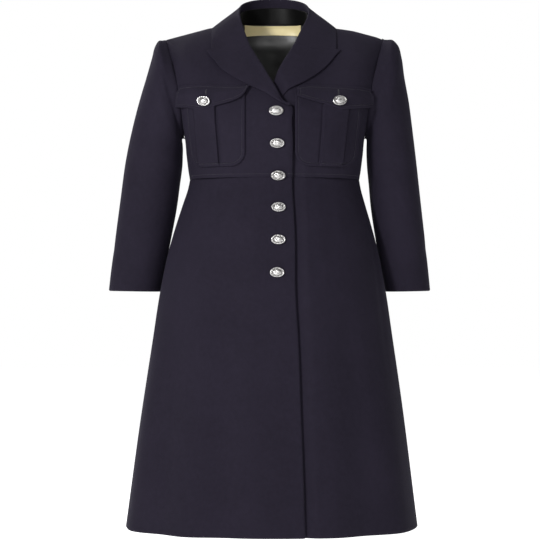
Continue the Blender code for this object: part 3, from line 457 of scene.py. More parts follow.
def woolCloth(name, settings):
    add, finish = newMaterial(name)
    uv, place = add("UVMap", uv_map="cloth"), add("TexCoord")
    broad = noise(add, place, settings["broad"], 3.0, 0.6)
    fibre = noise(add, uv, settings["fibre"], 4.0, 0.7)
    thread = noise(add, add("Mapping", {"Vector": uv, "Scale": settings["slub"]}), 1.0)
    twill = add("TexWave", {
        "Vector": add("Mapping", {"Vector": uv, "Rotation": (0.0, 0.0, math.radians(settings["twillTurn"]))}),
        "Scale": waveScale(settings["twillPitch"]), "Distortion": 0.8, "Detail": 2.0, "Detail Scale": 2.0,
    }, bands_direction="X", wave_profile="SIN")
    patchy = noise(add, place, settings["patchy"], 5.0, 0.7)
    tone = add("Math", {0: ramp(add, broad, 0.3, 0.7, 0.0, 0.5), 1: ramp(add, patchy, 0.35, 0.65, 0.0, 0.5)},
               operation="ADD")
    base = tinted(add, tone, settings["dark"], settings["light"])
    flecked = tinted(add, ramp(add, fibre, 0.58, 0.8, 0.0, 0.5), base, settings["fleck"])
    ribs = tinted(add, ramp(add, twill, 0.0, 0.5, 0.35, 0.0), flecked,
                  [settings["ribShade"] * c for c in settings["dark"]])
    fine = bumped(add, twill, settings["twillDeep"], 0.0003)
    return finish({
        "Base Color": ribs, "Roughness": ramp(add, thread, 0.3, 0.7, *settings["roughness"]),
        "Specular IOR Level": settings["shine"], "Sheen Weight": settings["sheen"],
        "Sheen Roughness": settings["sheenRough"], "Sheen Tint": (*settings["sheenTint"], 1.0),
        "Normal": bumped(add, fibre, settings["fibreDeep"], 0.0003, fine),
    })


satin = {"dark": (0.018, 0.018, 0.018), "light": (0.042, 0.042, 0.042), "roughness": (0.34, 0.48),
         "pitch": 0.0004, "shine": 0.42}
# Satin inside the collar stand: the lining's black satin with painted shade, about ten times darker, for the shade up
# inside the collar.
shadedStandSatin = {"dark": (0.0016, 0.0016, 0.0016), "light": (0.003, 0.003, 0.003), "roughness": (0.38, 0.5),
             "pitch": 0.0004, "shine": 0.07}
labelSatin = {"dark": (0.62, 0.53, 0.28), "light": (0.72, 0.62, 0.35), "roughness": (0.34, 0.5),
              "pitch": 0.0006, "shine": 0.4}


def satinCloth(name, settings):
    add, finish = newMaterial(name)
    broad = noise(add, add("TexCoord"), 26.0, 3.0)
    scale = (0.12 / settings["pitch"], 1 / settings["pitch"], 1.0)
    thread = noise(add, add("Mapping", {"Vector": add("UVMap", uv_map="cloth"), "Scale": scale}), 1.0)
    return finish({
        "Base Color": tinted(add, ramp(add, broad, 0.3, 0.7, 0.0, 1.0), settings["dark"], settings["light"]),
        "Roughness": ramp(add, thread, 0.3, 0.7, *settings["roughness"]), "Sheen Weight": 0.02,
        "Specular IOR Level": settings["shine"],
        "Normal": bumped(add, thread, 0.15, 0.0002, bumped(add, broad, 0.25, 0.004)),
    })


metal = {"bright": (0.50, 0.49, 0.485), "tarnish": (0.035, 0.033, 0.032), "roughness": (0.22, 0.40),
         "spots": 420.0, "pits": 1500.0}


def castSilver(name, settings):  # tarnished where the mesh says it is hollow
    add, finish = newMaterial(name)
    place = add("TexCoord")
    spots = noise(add, place, settings["spots"], 4.0)
    stain = add("Math", {0: ramp(add, spots, 0.45, 0.75, 0.0, 0.22), 1: add("Attribute", attribute_name="hollow")},
                operation="ADD", use_clamp=True)
    return finish({
        "Base Color": tinted(add, stain, settings["bright"], settings["tarnish"]), "Metallic": 1.0,
        "Roughness": ramp(add, spots, 0.3, 0.7, *settings["roughness"]),
        "Normal": bumped(add, noise(add, place, settings["pits"]), 0.12, 0.0002),
    })


coatTwist = {"dark": (0.0075, 0.0062, 0.0115), "light": (0.0125, 0.0108, 0.0185), "pitch": 0.0004}
labelTwist = {"dark": (0.34, 0.28, 0.16), "light": (0.48, 0.40, 0.24), "pitch": 0.0004}


def sewingThread(name, settings):
    add, finish = newMaterial(name)
    twist = add("TexWave", {"Vector": add("TexCoord"), "Scale": waveScale(settings["pitch"]), "Distortion": 1.0},
                bands_direction="DIAGONAL")
    return finish({"Base Color": tinted(add, twist, settings["dark"], settings["light"]), "Roughness": 0.5,
                   "Sheen Weight": 0.15, "Normal": bumped(add, twist, 0.3, 0.0001)})


coatWool = woolCloth("coatWool", wool)
liningSatin = satinCloth("liningSatin", satin)
standSatinShaded = satinCloth("standSatinShaded", shadedStandSatin)
labelWeave = satinCloth("labelWeave", labelSatin)
buttonSilver = castSilver("buttonSilver", metal)
coatThread = sewingThread("coatThread", coatTwist)
labelThread = sewingThread("labelThread", labelTwist)
print("materials made")


# Bodice.
wallSizes = {"body": 1.9 * mm, "hem": 3.4 * mm, "hemTall": 38 * mm, "hemEase": 4 * mm, "lapel": 2.4 * mm,
             "lapelRoll": 1.3 * mm, "collar": 2.1 * mm, "pocket": 1.5 * mm, "flap": 2.2 * mm, "overlap": 2.4 * mm}
# What a side sewn to another piece rolls in, mm, and how wide.
seamRolls = {"side": (-0.5, 1.8), "waist": (-0.3, 1.6), "skirtSide": (-0.8, 1.6), "hem": (-1.6, 2.2),
             "cuff": (-1.7, 2.4)}
sideSteps, armholeSteps = 5, 11  # shares of a bodice piece's height beside the side seam and the armhole
neckShare = 5 / 12  # share of the back's columns that end on the neck rather than on the shoulder
neckBlend = 0.7  # how far up the back its rows begin to follow the neck and the shoulders
bodiceLow = body["waistZ"] + body["seamGap"] / 2


def armholeFrontal(turn, side):  # the armhole from the front: 0 at the underarm, 180 at the shoulder tip
    share = (1 - np.cos(np.radians(turn))) / 2
    low, tip = body["underarm"], body["shoulderTip"]
    x = mixed(low[0], tip[0], share) - body["armholeBow"] * np.sin(np.pi * share)
    z = low[1] + (tip[1] + padLift(side * tip[0]) - low[1]) * share
    return side * x + ring("centre", z), z


def outerBoundary(t, side):  # side seam, then armhole; t runs over both
    seamZ = mixed(bodiceLow, body["underarm"][1], np.minimum(t / sideSteps, 1.0))
    armX, armZ = armholeFrontal(np.clip(t - sideSteps, 0, armholeSteps) / armholeSteps * 180, side)
    x = np.where(t < sideSteps, ring("centre", seamZ) + side * ring("half", seamZ), armX)
    return x, np.where(t < sideSteps, seamZ, armZ)


def coverX(z):  # where the right front, or the fold of its lapel, ends at a height
    return np.where(z < body["breakZ"], edgeX(z), np.interp(z, rolls[-1][:, 1], rolls[-1][:, 0]))


def underlapSink(x, z):  # how far the left front lies under the right one
    sizes = underlap
    depth = mixed(sizes["hemSink"], sizes["sink"], fade(sizes["hemFrom"], sizes["chestFrom"], z))
    cover = coverX(z)
    groove = sizes["groove"] * bump(x - cover - sizes["grooveOff"], sizes["grooveWidth"])
    return depth * (1 - fade(0, 1, (x - (cover + sizes["start"])) / sizes["width"])) + groove


def openShare(x, z):  # 0 under the right front, 1 well clear of it
    return fade(0, 1, (x - coverX(z) - underlap["clearFrom"]) / underlap["clearWidth"])


def squareShare(s):  # even steps round a squarish section
    return np.sin(np.pi / 2 * s) ** (2 / body["squareness"])


def bodiceFront(side, rows=110, cols=90):
    last = sideSteps + armholeSteps
    t = denser(rows) * last
    outX, outZ = outerBoundary(t, side)
    edgeZ = bodiceLow + (body["breakZ"] - bodiceLow) * np.arange(4) / 4
    under = underlap["x"] + underlap["lean"] * fade(body["waistZ"], body["breakZ"], edgeZ)
    edge = np.stack([edgeX(edgeZ) if side < 0 else under, edgeZ], axis=-1)
    inner = along(np.concatenate([edge, rolls[side]]), t / last)
    share = squareShare(np.linspace(0, 1, cols))
    x = mixed(inner[:, :1], outX[:, None], share)
    z = mixed(inner[:, 1:], outZ[:, None], share)
    z[-1] = shoulderLine(x[-1])
    grid = frontPoint(x, z, -underlapSink(x, z) if side > 0 else 0.0)
    grid[..., 1] -= body["seamGap"] / 2
    return grid, panelUv(frontY, x, z)


def backNeckZ(x):
    t = np.minimum(np.abs(x) / body["neckPointX"], 1.0)
    low = body["neckBackZ"]
    return low + (shoulderLine(body["neckPointX"]) - low) * t * t


def bodiceBack(rows=104, cols=86):
    last = sideSteps + armholeSteps
    t = denser(rows) * last
    up = (t / last)[:, None]
    middle = mixed(bodiceLow, body["neckBackZ"], up)
    s = np.linspace(0, 1, cols)
    halves = []
    for side in (-1, 1):
        outX, outZ = (a[:, None] for a in outerBoundary(t, side))
        tip, neckSide = outX[-1, 0], side * body["neckPointX"]
        neck = neckSide * np.sin(np.pi / 2 * np.minimum(s / neckShare, 1))
        shoulder = neckSide + (tip - neckSide) * (s - neckShare) / (1 - neckShare)
        topShare = np.where(s <= neckShare, neck, shoulder) / tip
        share = squareShare(s)
        share = share + (topShare - share) * up * up
        x = outX * share
        edgeZ = np.where(s <= neckShare, backNeckZ(x), shoulderLine(x))
        z = mixed(middle, outZ, share)
        z = mixed(z, edgeZ, fade(neckBlend, 1.0, up))
        grid = backPoint(x, z)
        grid[..., 1] += body["seamGap"] / 2
        halves.append(grid)
    return np.concatenate([halves[0][:, ::-1], halves[1][:, 1:]], axis=1)


def woolPiece(node, grid, wall, inside=None, held="hung", restsOn=(), **shape):
    made = clothShell(node + "_cloth", grid, wall, coatWool, inside, **shape)
    dress(made, [node], "coat_cloth", grid, held)


bodiceGrids = {}
for node, side in (("bodice_front_right", -1), ("bodice_front_left", 1), ("bodice_back", 0)):
    if side:
        grid, uv = bodiceFront(side)
        grid = seamed(grid, {"right": seamRolls["side"], "bottom": seamRolls["waist"]})
    else:
        both = {"left": seamRolls["side"], "right": seamRolls["side"], "bottom": seamRolls["waist"]}
        grid = seamed(bodiceBack(), both)
        uv = panelUv(backY, grid[..., 0], grid[..., 2])
    bodiceGrids[node] = grid
    woolPiece(node, grid, wallSizes["body"], liningSatin, uv=uv)
print("bodice made")


# Skirt.
skirtSizes = {"raise": 1.6 * mm, "foldStrength": 1.3, "waveStrength": 1.7, "gapShare": 0.75, "gapTurn": 0.02}
# Folds: angle (0 front, 90 the wearer's left), depth, width, heights where it begins and is full.
skirtFolds = (
    (-66, 5.0, 11, -420, -760), (-47, -3.2, 8, -520, -840), (-33, 4.2, 9, -460, -800),
    (-19, -3.0, 8, -330, -620), (24, 3.0, 9, -300, -560), (38, -3.6, 9, -480, -820),
    (57, 4.6, 11, -450, -800), (112, 4.4, 11, -430, -780), (133, -3.4, 9, -520, -840),
    (153, 4.8, 10, -380, -760), (174, -3.2, 10, -480, -820), (195, 4.4, 10, -420, -780),
    (217, -3.8, 9, -500, -830), (242, 4.8, 11, -440, -790),
)
# Finer waves: angle, depth, width, height where each is strongest, how tall it is, how it leans.
skirtWaves = (
    (-78, 0.9, 5, -420, 130, 3), (-58, -0.8, 4, -350, 90, -4), (-40, 1.0, 5, -620, 160, 2),
    (-28, -0.8, 4, -480, 120, -3), (-9, 0.7, 4, -380, 90, 2), (8, -0.6, 4, -560, 140, 3),
    (16, 0.7, 4, -430, 110, -2), (33, -0.9, 5, -360, 90, 4), (46, 0.9, 5, -640, 150, -3),
    (68, -0.9, 4, -470, 130, 3), (82, 0.8, 5, -600, 150, -2), (101, -0.8, 5, -400, 120, 3),
    (122, 0.9, 5, -620, 150, -3), (144, -0.8, 4, -450, 110, 2), (163, 0.9, 5, -680, 150, 3),
    (184, -0.8, 4, -380, 100, -2), (206, 0.9, 5, -560, 140, -3), (229, -0.9, 5, -430, 120, 3),
    (254, 0.8, 5, -640, 150, -2),
)


def foldHeight(angle, z):
    total = 0.0
    for at, depth, width, top, full in skirtFolds:
        apart = (angle - at + 180) % 360 - 180
        opening = fade(-top * mm, -full * mm, -z)
        total = total + skirtSizes["foldStrength"] * depth * mm * opening * bump(apart, width)
    for at, depth, width, middle, tall, lean in skirtWaves:
        away = (z - middle * mm) / (tall * mm)
        apart = (angle - at - lean * away + 180) % 360 - 180
        wave = np.exp(-away ** 2 - (apart / width) ** 2)
        total = total + skirtSizes["waveStrength"] * depth * mm * wave
    return total


def skirtPoint(angle, z, sink=0.0):
    turn, power = np.radians(angle), 2 / body["skirtSquareness"]
    ahead = signedPower(np.cos(turn), power)
    depth = np.where(ahead > 0, ring("front", z), ring("back", z))
    out = foldHeight(angle, z) - sink
    x = ring("centre", z) + ring("half", z) * signedPower(np.sin(turn), power) + out * np.sin(turn)
    return np.stack([x, -depth * ahead - out * np.cos(turn), np.broadcast_to(z, x.shape)], axis=-1)


def skirtAngle(x, z):
    share = (x - ring("centre", z)) / ring("half", z)
    return np.degrees(np.sign(share) * np.arcsin(np.minimum(np.abs(share), 1.0) ** (body["skirtSquareness"] / 2)))


def skirtPanel(start, end, cols, sinking, rows=150):
    top = body["waistZ"] + skirtSizes["raise"]
    z = np.minimum(top + denser(rows) * (body["hemZ"] - top), top)[:, None]
    angle = mixed(start(z), end(z), denser(cols, 2))
    flat = skirtPoint(angle, z)
    return skirtPoint(angle, z, underlapSink(flat[..., 0], z)) if sinking else flat


def seamAngle(z):
    return np.degrees(body["seamGap"] * skirtSizes["gapShare"] / ring("half", z)) + skirtSizes["gapTurn"]


def hemWall(grid):
    above = grid[..., 2] - body["hemZ"] - wallSizes["hemTall"]
    return mixed(wallSizes["hem"], wallSizes["body"], fade(0, wallSizes["hemEase"], above))


# Where each panel starts and ends, its columns, whether it lies under another, its sewn sides.
skirtPanels = {
    "skirt_front_right": (lambda z: -90 + seamAngle(z), lambda z: skirtAngle(edgeX(z), z), 120, False, ["left"]),
    "skirt_front_left": (lambda z: skirtAngle(underlap["x"] + 0 * z, z), lambda z: 90 - seamAngle(z), 110, True,
                         ["right"]),
    "skirt_back": (lambda z: 90 + seamAngle(z), lambda z: 270 - seamAngle(z), 168, False, ["left", "right"]),
}
for node, (start, end, cols, sinking, sewn) in skirtPanels.items():
    seams = {"bottom": seamRolls["hem"], **{side: seamRolls["skirtSide"] for side in sewn}}
    grid = seamed(skirtPanel(start, end, cols, sinking), seams)
    woolPiece(node, grid, hemWall(grid), liningSatin, hemRows=9)
print("skirt made")


# Sleeves.
sleeveColumns = ("outX", "outZ", "inX", "inZ", "halfDepth", "middleY")
sleeveTables = {
    -1: table((
        (207.5, -20.5, 165.5, -196.5, 63, 1), (213.5, -30, 165.5, -200, 64.5, 1), (219, -50, 164.8, -205, 65, 2),
        (228.5, -83, 164.2, -213, 64.5, 3), (241.8, -127, 164.5, -226, 63, 5), (255.6, -180, 165.4, -246, 61.5, 7),
        (267.6, -240, 169.5, -276, 59.5, 10), (278.2, -312, 176, -322, 56.5, 14),
        (288.4, -385, 188.6, -387, 53, 20), (296.2, -440, 199.4, -441, 50, 26), (299.6, -468, 205, -470, 48.5, 29),
    ), sleeveColumns),
    1: table((
        (213, -18.5, 166.5, -196.5, 63, 1), (222.5, -28, 167, -200, 64.5, 1), (229.2, -50, 167, -205, 65, 2),
        (234, -83, 166.8, -213, 64.5, 3), (242.2, -127, 167, -226, 63, 5), (249.4, -180, 168, -246, 61.5, 7),
        (256.8, -240, 171, -276, 59.5, 10), (265.2, -312, 175.5, -322, 56.5, 14), (274, -385, 185.9, -387, 53, 20),
        (280.4, -440, 196, -441, 50, 26), (283.4, -468, 201.8, -470, 48.5, 29),
    ), sleeveColumns),
}
sleeveSizes = {"roundness": 0.92, "creaseTaper": 0.4, "shift": 9, "shiftShares": (0.6, 0.5, 0.4),
               "headEase": 25, "cuffEase": 30, "length": 450, "hemFrom": 30 * mm, "hemTo": 34 * mm}
# Creases: turns round the arm in degrees (0 underarm, 90 front, 180 outside) and mm down, from and to.
sleeveCreases = (
    (60, 30, 130, 8, -1.2, 8), (66, 60, 150, 30, 1.0, 10), (210, 20, 300, 50, -1.1, 9),
    (205, 50, 290, 84, 0.9, 11), (20, 140, 120, 176, -1.4, 10), (30, 176, 150, 210, 1.2, 12),
    (0, 214, 110, 232, -1.3, 9), (40, 250, 140, 270, 0.9, 12), (260, 168, 350, 190, -1.3, 10),
    (240, 204, 345, 222, 1.2, 11), (250, 246, 350, 250, -1.0, 10), (100, 330, 190, 300, -0.8, 13),
    (170, 120, 205, 260, 0.8, 11), (60, 380, 140, 402, 0.7, 12), (230, 320, 320, 352, -0.8, 12),
    (120, 60, 150, 190, -0.8, 12),
)


def sleeveCreasing(turn, down, shift):  # the left sleeve's creases are shifted a little
    total, taper = 0.0, sleeveSizes["creaseTaper"]
    startDown, endTurn, endDown = sleeveSizes["shiftShares"]
    for fromTurn, fromDown, toTurn, toDown, depth, width in sleeveCreases:
        start = (fromTurn + shift, fromDown + shift * startDown)
        end = (toTurn + shift * endTurn, toDown - shift * endDown)
        total = total + crease(depth * mm, start, end, width, taper, turn, down, turning=True)
    return total


def sleeveGrid(side, rows=140, cols=113):
    data, sizes = sleeveTables[side], sleeveSizes
    turn = np.linspace(0, 360, cols)
    front = turn <= 180
    armX, armZ = armholeFrontal(np.where(front, turn, 360 - turn), side)
    low = (1 + np.cos(np.radians(turn))) / 2  # 1 at the underarm
    under = armX - side * (1 - low) * wallSizes["overlap"]
    armZ = armZ - low * wallSizes["overlap"] + (1 - low) * (shoulderLine(under) - shoulderLine(armX))
    rings = [np.stack([under, np.where(front, frontY(under, armZ), backY(under, armZ)), armZ], axis=-1)]
    across = -signedPower(np.cos(np.radians(turn)), sizes["roundness"])
    ahead = -signedPower(np.sin(np.radians(turn)), sizes["roundness"])
    for k in range(len(data["outX"])):
        outer = np.array([side * data["outX"][k], data["outZ"][k]])
        inner = np.array([side * data["inX"][k], data["inZ"][k]])
        spot = (outer + inner) / 2 + (outer - inner) / 2 * across[:, None]
        rings.append(np.stack([spot[:, 0], data["middleY"][k] + data["halfDepth"][k] * ahead, spot[:, 1]], axis=-1))
    rings.insert(1, (rings[0] + rings[1]) / 2)
    rings = np.stack(rings)
    keys = runOf(stepsOf(rings).mean(axis=1))
    at = denser(rows) * keys[-1]
    grid = smoothAt(keys, rings, at)
    down = at[:, None] / mm
    lift = sleeveCreasing(turn[None, :], down, 0 if side < 0 else sizes["shift"])
    lift = lift * fade(0, sizes["headEase"], down) * fade(0, sizes["cuffEase"], down[-1] - down)
    grid = grid + outwardNormals(grid, closed=True) * lift[..., None]
    grid[:, -1] = grid[:, 0]
    return grid


for side, word in bothSides:
    grid = seamed(sleeveGrid(side), {"bottom": seamRolls["cuff"]}, closed=True)
    up = np.linspace(1, 0, len(grid))[:, None] * sleeveSizes["length"] * mm
    hem = 1 - fade(sleeveSizes["hemFrom"], sleeveSizes["hemTo"], up)
    wall = mixed(wallSizes["body"], wallSizes["hem"], hem)
    woolPiece(f"sleeve_{word}", grid, wall, liningSatin, closed=True, hemRows=11)
print("sleeves made")


# Lapels and collar.
lapelShapes = {
    -1: {
        "edge": pairs((
            (17, -146), (2.5, -138), (-12.4, -127.5), (-28, -119.3), (-43.6, -112), (-57.6, -103.7),
            (-70.2, -95.8), (-82, -88.6), (-93, -80), (-102, -68.5), (-111, -57.8), (-117.2, -47.7),
        )),
        "gorge": pairs(((-117.2, -47.7), (-109.5, -45.3), (-92, -46.5), (-74, -47.5), (-58, -46), (-42.5, -39))),
    },
    1: {
        "edge": pairs((
            (-8, -143), (10, -130.6), (24.3, -119.2), (37.8, -112.6), (51.6, -105.3), (66.5, -95.7),
            (77.3, -88.1), (87.9, -79), (98.8, -67.7), (109.9, -53.6), (117.3, -46.8),
        )),
        "gorge": pairs(((117.3, -46.8), (109.5, -44.5), (90, -45.5), (70, -45.5), (53, -42.5), (36.5, -34))),
    },
}
# rollSection: how far ahead of the fold and how high, round the fold.
lapelSizes = {"rest": 2.4 * mm, "puff": 1.8 * mm, "puffLoss": 0.4, "flatPoints": 6, "gorgeFrom": 0.62,
              "rollSection": pairs(((0.4, 0.8), (-1.0, 2.6), (0.2, 4.6), (2.8, 5.6))),
              "thinTo": 0.08, "fullFrom": 0.35}
flatLift = body["layerGap"] + body["thinWall"]
crowding = 0.75


def lapelGrid(side, rows=120, cols=72):
    shape, sizes = lapelShapes[side], lapelSizes
    gorge = shape["gorge"] - np.array([0, body["seamGap"]])
    roll = np.array([p for p in rolls[side] if p[1] < gorge[-1][1]] + [gorge[-1]])
    count = sizes["flatPoints"]
    steps = np.linspace(0, 1, count + 1)
    seamLine = along(gorge[::-1], steps)
    straight = mixed(gorge[-1], gorge[0], steps[:, None])
    share = denser(rows)
    fold, tip = along(roll, share)[:, None], along(shape["edge"], share)[:, None]
    line = mixed(fold, tip, steps[:, None])
    line = line + (seamLine - straight) * fade(sizes["gorgeFrom"], 1.0, share)[:, None, None]
    away = unit(line[:, 1] - line[:, 0])

    def pointAt(x, z, base, extra):  # the left lapel sinks under the right front and lies flat there
        if side < 0:
            return frontPoint(x, z, base + extra)
        return frontPoint(x, z, base + extra * openShare(x, z) - underlapSink(x, z))

    columns = []
    for ahead, lift in sizes["rollSection"]:
        x, z = (line[:, 0] + away * ahead).T
        columns.append(pointAt(x, z, min(lift, flatLift), max(lift - flatLift, 0.0)))
    for i in range(1, count + 1):
        rest = sizes["rest"] + sizes["puff"] * math.sin(math.pi * i / count) * (1 - share * sizes["puffLoss"])
        columns.append(pointAt(*line[:, i].T, flatLift, rest))
    return spreadColumns(np.stack(columns, axis=1), cols, crowding)


for side, word in bothSides:
    grid = lapelGrid(side)
    thickness = fade(lapelSizes["thinTo"], lapelSizes["fullFrom"], np.linspace(0, 1, grid.shape[1]))
    woolPiece(f"lapel_{word}", grid, mixed(wallSizes["lapelRoll"], wallSizes["lapel"], thickness), held="folded",
              restsOn=[f"bodice_front_{word}_cloth"], uv=panelUv(frontY, grid[..., 0], grid[..., 2]))

# From the front round to the nape: x, y and z of the seam, of the fold and of the edge.
collarHalf = np.array((
    (50, -51, -21, 49, -58, -20, 109.5, -58, -41), (60, -25, 4, 58, -32, 9, 110.5, -38, -20),
    (65, -3, 14, 60.5, -8, 28, 111, -16, -4), (67, 15, 17.2, 60, 14, 40, 110.5, 7, 4.8),
    (62.5, 37, 17.8, 55, 35, 50.5, 104.5, 36, 0.5), (46, 58, 19.4, 41.5, 56, 59.5, 81, 64, -8),
    (23.5, 72, 21, 21, 70, 65, 43, 82, -8), (0, 78, 21.6, 0, 75.5, 66.6, 0, 90, -8),
), float) * mm
# start, crest and drop are in shares of foldWidth. endSection: how far ahead and how high at the collar's end.
collarSizes = {
    "foldWidth": 5.2 * mm, "foot": 0.5 * mm, "puff": 0.8 * mm, "fallPoints": 5, "start": 0.06, "crest": (0.5, 0.27),
    "drop": 0.3,
    "gorgeLength": 80 * mm, "gorgeGap": 0.35 * mm, "gorgePuff": 1.32 * mm, "gorgeFrom": 0.72,
    "endSection": pairs(((0.0, 0.8), (-0.5, 1.4), (-0.8, 2.2), (-0.4, 3.2), (1.2, 4.2), (3.4, 4.7))),
    "thinTo": 0.5, "fullFrom": 0.75,
}


def collarSections(place):  # seam, fold and edge at places round the neck: -1 right front, 0 nape, 1 left front
    count = len(collarHalf) - 1
    mirrored = collarHalf * np.tile([-1.0, 1.0, 1.0], 3)
    whole = np.concatenate([mirrored, collarHalf[-2::-1]])
    got = smoothAt(np.arange(-count, count + 1), whole, place * count)
    return got[:, 0:3], got[:, 3:6], got[:, 6:9]


def levelUnit(vectors):
    return unit(vectors * np.array([1.0, 1.0, 0.0]))


def collarRows(place):
    sizes, up = collarSizes, np.array([0, 0, 1.0])
    seam, fold, edge = collarSections(place)
    out, rise, width = levelUnit(edge - fold), unit(fold - seam), sizes["foldWidth"]
    ahead, high = sizes["crest"]
    line = [seam + rise * sizes["foot"], seam + (fold - seam) * 0.5, fold - rise * width * 0.5,
            fold + out * width * sizes["start"], fold + out * width * ahead + up * width * high,
            fold + out * width - up * width * sizes["drop"]]
    for i in range(1, sizes["fallPoints"] + 1):
        share = i / sizes["fallPoints"]
        puff = sizes["puff"] * math.sin(math.pi * share)
        base = fold + out * width
        line.append(mixed(base, edge, share) + (out + up) * puff - up * width * sizes["drop"] * (1 - share))
    return np.stack(line, axis=1)


def gorgeRow(side):  # the collar's end, beside the lapel's upper edge
    sizes, count = collarSizes, collarSizes["fallPoints"]
    path = lapelShapes[side]["gorge"][1:][::-1]
    line = []
    for ahead, lift in sizes["endSection"]:
        start = max(ahead, 0.0) / sizes["gorgeLength"]
        x, z = along(path, [start])[0]
        line.append(frontPoint(x + side * min(ahead, 0.0), z + sizes["gorgeGap"], lift))
    for i in range(1, count + 1):
        x, z = along(path, [start + (1 - start) * i / count])[0]
        puff = sizes["gorgePuff"] * math.sin(math.pi * i / count)
        line.append(frontPoint(x, z + sizes["gorgeGap"], flatLift + lapelSizes["rest"] + puff))
    return np.stack(line)


def collarGrid(rows=220, cols=60):
    place = np.linspace(-1, 1, rows)
    grid = collarRows(place)
    share = fade(collarSizes["gorgeFrom"], 1.0, np.abs(place))[:, None, None]
    for side in (-1, 1):
        shift = gorgeRow(side) - collarRows(np.array([float(side)]))[0]
        grid = grid + np.where((place * side > 0)[:, None, None], shift * share, 0.0)
    return spreadColumns(grid, cols, crowding)


grid = collarGrid()
thickness = fade(collarSizes["thinTo"], collarSizes["fullFrom"], np.linspace(0, 1, grid.shape[1]))
woolPiece("collar", grid, mixed(body["thinWall"], wallSizes["collar"], thickness), held="folded",
          restsOn=["bodice_back_cloth"])


# Satin inside the collar stand, the back lining and the bare label.
standSizes = {"reach": 0.72, "from": -0.04, "to": 0.64, "lift": 2.4 * mm, "wall": 1.0 * mm, "swell": 0.5 * mm,
              "waves": 23}
liningSizes = {"lift": 4.8 * mm, "wall": 0.7 * mm, "wrinkling": 0.8, "rows": slice(27, -2), "cols": slice(47, -47)}
labelSizes = {"left": -58 * mm, "right": 53 * mm, "tall": 21 * mm, "rise": 0.6 * mm, "lift": 6.2 * mm,
              "wall": 0.6 * mm, "swell": 0.5 * mm, "wave": 9 * mm}
# Wrinkles of the back lining, seen through the neck opening.
liningWrinkles = (
    (-30, -10, -14, -78, 1.5, 6), (-8, -22, 10, -90, -1.4, 7), (16, -14, 4, -74, 1.3, 6),
    (34, -12, 18, -70, -1.2, 7), (-44, -24, -20, -110, -1.2, 8), (-20, -56, 26, -48, 1.1, 7),
    (-12, -92, 22, -120, 1.0, 8), (46, -30, 30, -110, 1.2, 8), (0, -40, 14, -58, 0.9, 4),
    (-26, -44, -6, -60, -0.8, 4), (-60, -110, 50, -150, 0.9, 12), (-50, -190, 60, -170, -0.9, 12),
)


def standLining(rows=150, cols=18):
    sizes = standSizes
    place = np.linspace(-sizes["reach"], sizes["reach"], rows)
    seam, fold, edge = collarSections(place)
    t = np.linspace(sizes["from"], sizes["to"], cols)[None, :, None]
    swell = np.sin(np.pi * t) * sizes["swell"] * np.sin(place * sizes["waves"])[:, None, None]
    return seam[:, None] + (fold - seam)[:, None] * t + levelUnit(fold - edge)[:, None] * (sizes["lift"] + swell)


def backLining():
    whole = bodiceBack(rows=110, cols=92)
    ease = creases(liningWrinkles, whole[..., 0], whole[..., 2]) * liningSizes["wrinkling"]
    inner = whole - outwardNormals(whole) * (liningSizes["lift"] + ease)[..., None]
    return inner[liningSizes["rows"], liningSizes["cols"]]


def neckLabel(rows=22, cols=90):
    sizes = labelSizes
    x = np.linspace(sizes["left"], sizes["right"], cols)[None, :]
    s = np.linspace(0, 1, rows)[:, None]
    depth = sizes["lift"] + sizes["swell"] * np.sin(x / sizes["wave"]) * np.sin(np.pi * s)
    top = 0.5 * (backNeckZ(x) + backNeckZ(0)) + sizes["rise"]
    return backPoint(x, top - sizes["tall"] * s, -depth)


labelGrid = neckLabel()
for node, name, grid, wall, material, slot, held, under in (
    ("collar_stand_lining", "collar_stand_satin", standLining(), standSizes["wall"], standSatinShaded, "lining_satin",
     "stretched", "collar_cloth"),
    ("back_lining", "back_lining_satin", backLining(), liningSizes["wall"], liningSatin, "lining_satin",
     "hung", "bodice_back_cloth"),
    ("neck_label", "neck_label_satin", labelGrid, labelSizes["wall"], labelWeave, "label_satin",
     "laid", "back_lining_satin"),
):
    dress(clothShell(name, grid, wall, material), [node], slot, grid, held=held)
print("collar, lapels and linings made")


# Pockets and flaps.
pocketSizes = {
    "top": -128 * mm, "bottom": -251 * mm, "corner": 25 * mm, "lift": 1.6 * mm, "rise": 2.8 * mm, "fold": 0.8 * mm,
    "foldSlope": 1.1, "swell": 0.9 * mm, "roll": 0.7 * mm, "rollWidth": 4 * mm, "groove": 1.9 * mm,
    "grooveOff": 2.2 * mm, "grooveWidth": 1.3 * mm, "grooveEase": 12 * mm, "flatLow": 0.25, "flatEase": 9 * mm,
    "rim": 0.5 * mm, "rimIn": 2.4 * mm, "rimWidth": 1.6 * mm, "rows": 130, "plain": 28, "step": 7,
    "swellFull": 0.5, "swellEnd": 0.75, "rowPower": 0.9, "foldBack": 0.2, "foldRoom": 3, "stitchTop": 6 * mm,
}
flapSizes = {"standOff": 7.6 * mm, "standFull": 0.45, "holdX": 158 * mm, "step": 4 * mm, "straight": 0.5,
             "rim": 0.4 * mm, "rimIn": 2.2 * mm, "rimWidth": 1.5 * mm, "topWidth": 0.9 * mm, "curl": 0.7 * mm,
             "curls": 2.3, "curlFrom": 0.3, "curlStart": {-1: 0.5, 1: 2.2},
             "corner": 0.8 * mm, "cornerWidth": 14 * mm, "smoothing": 9, "wide": 110, "high": 44}
stitchDents = {"pocket": (5.2 * mm, 0.75 * mm), "flap": (4.6 * mm, 0.65 * mm)}  # how far in, how deep
dentWidth, threadLift = 1.1 * mm, 0.12 * mm
# The inner side, then the outer side and the pleat's two folds, each at the top and low down.
pocketShapes = {-1: (50.5, 158, 145, 104.5, 94.5, 139, 127), 1: (36.5, 155, 141, 88, 79, 130, 116)}
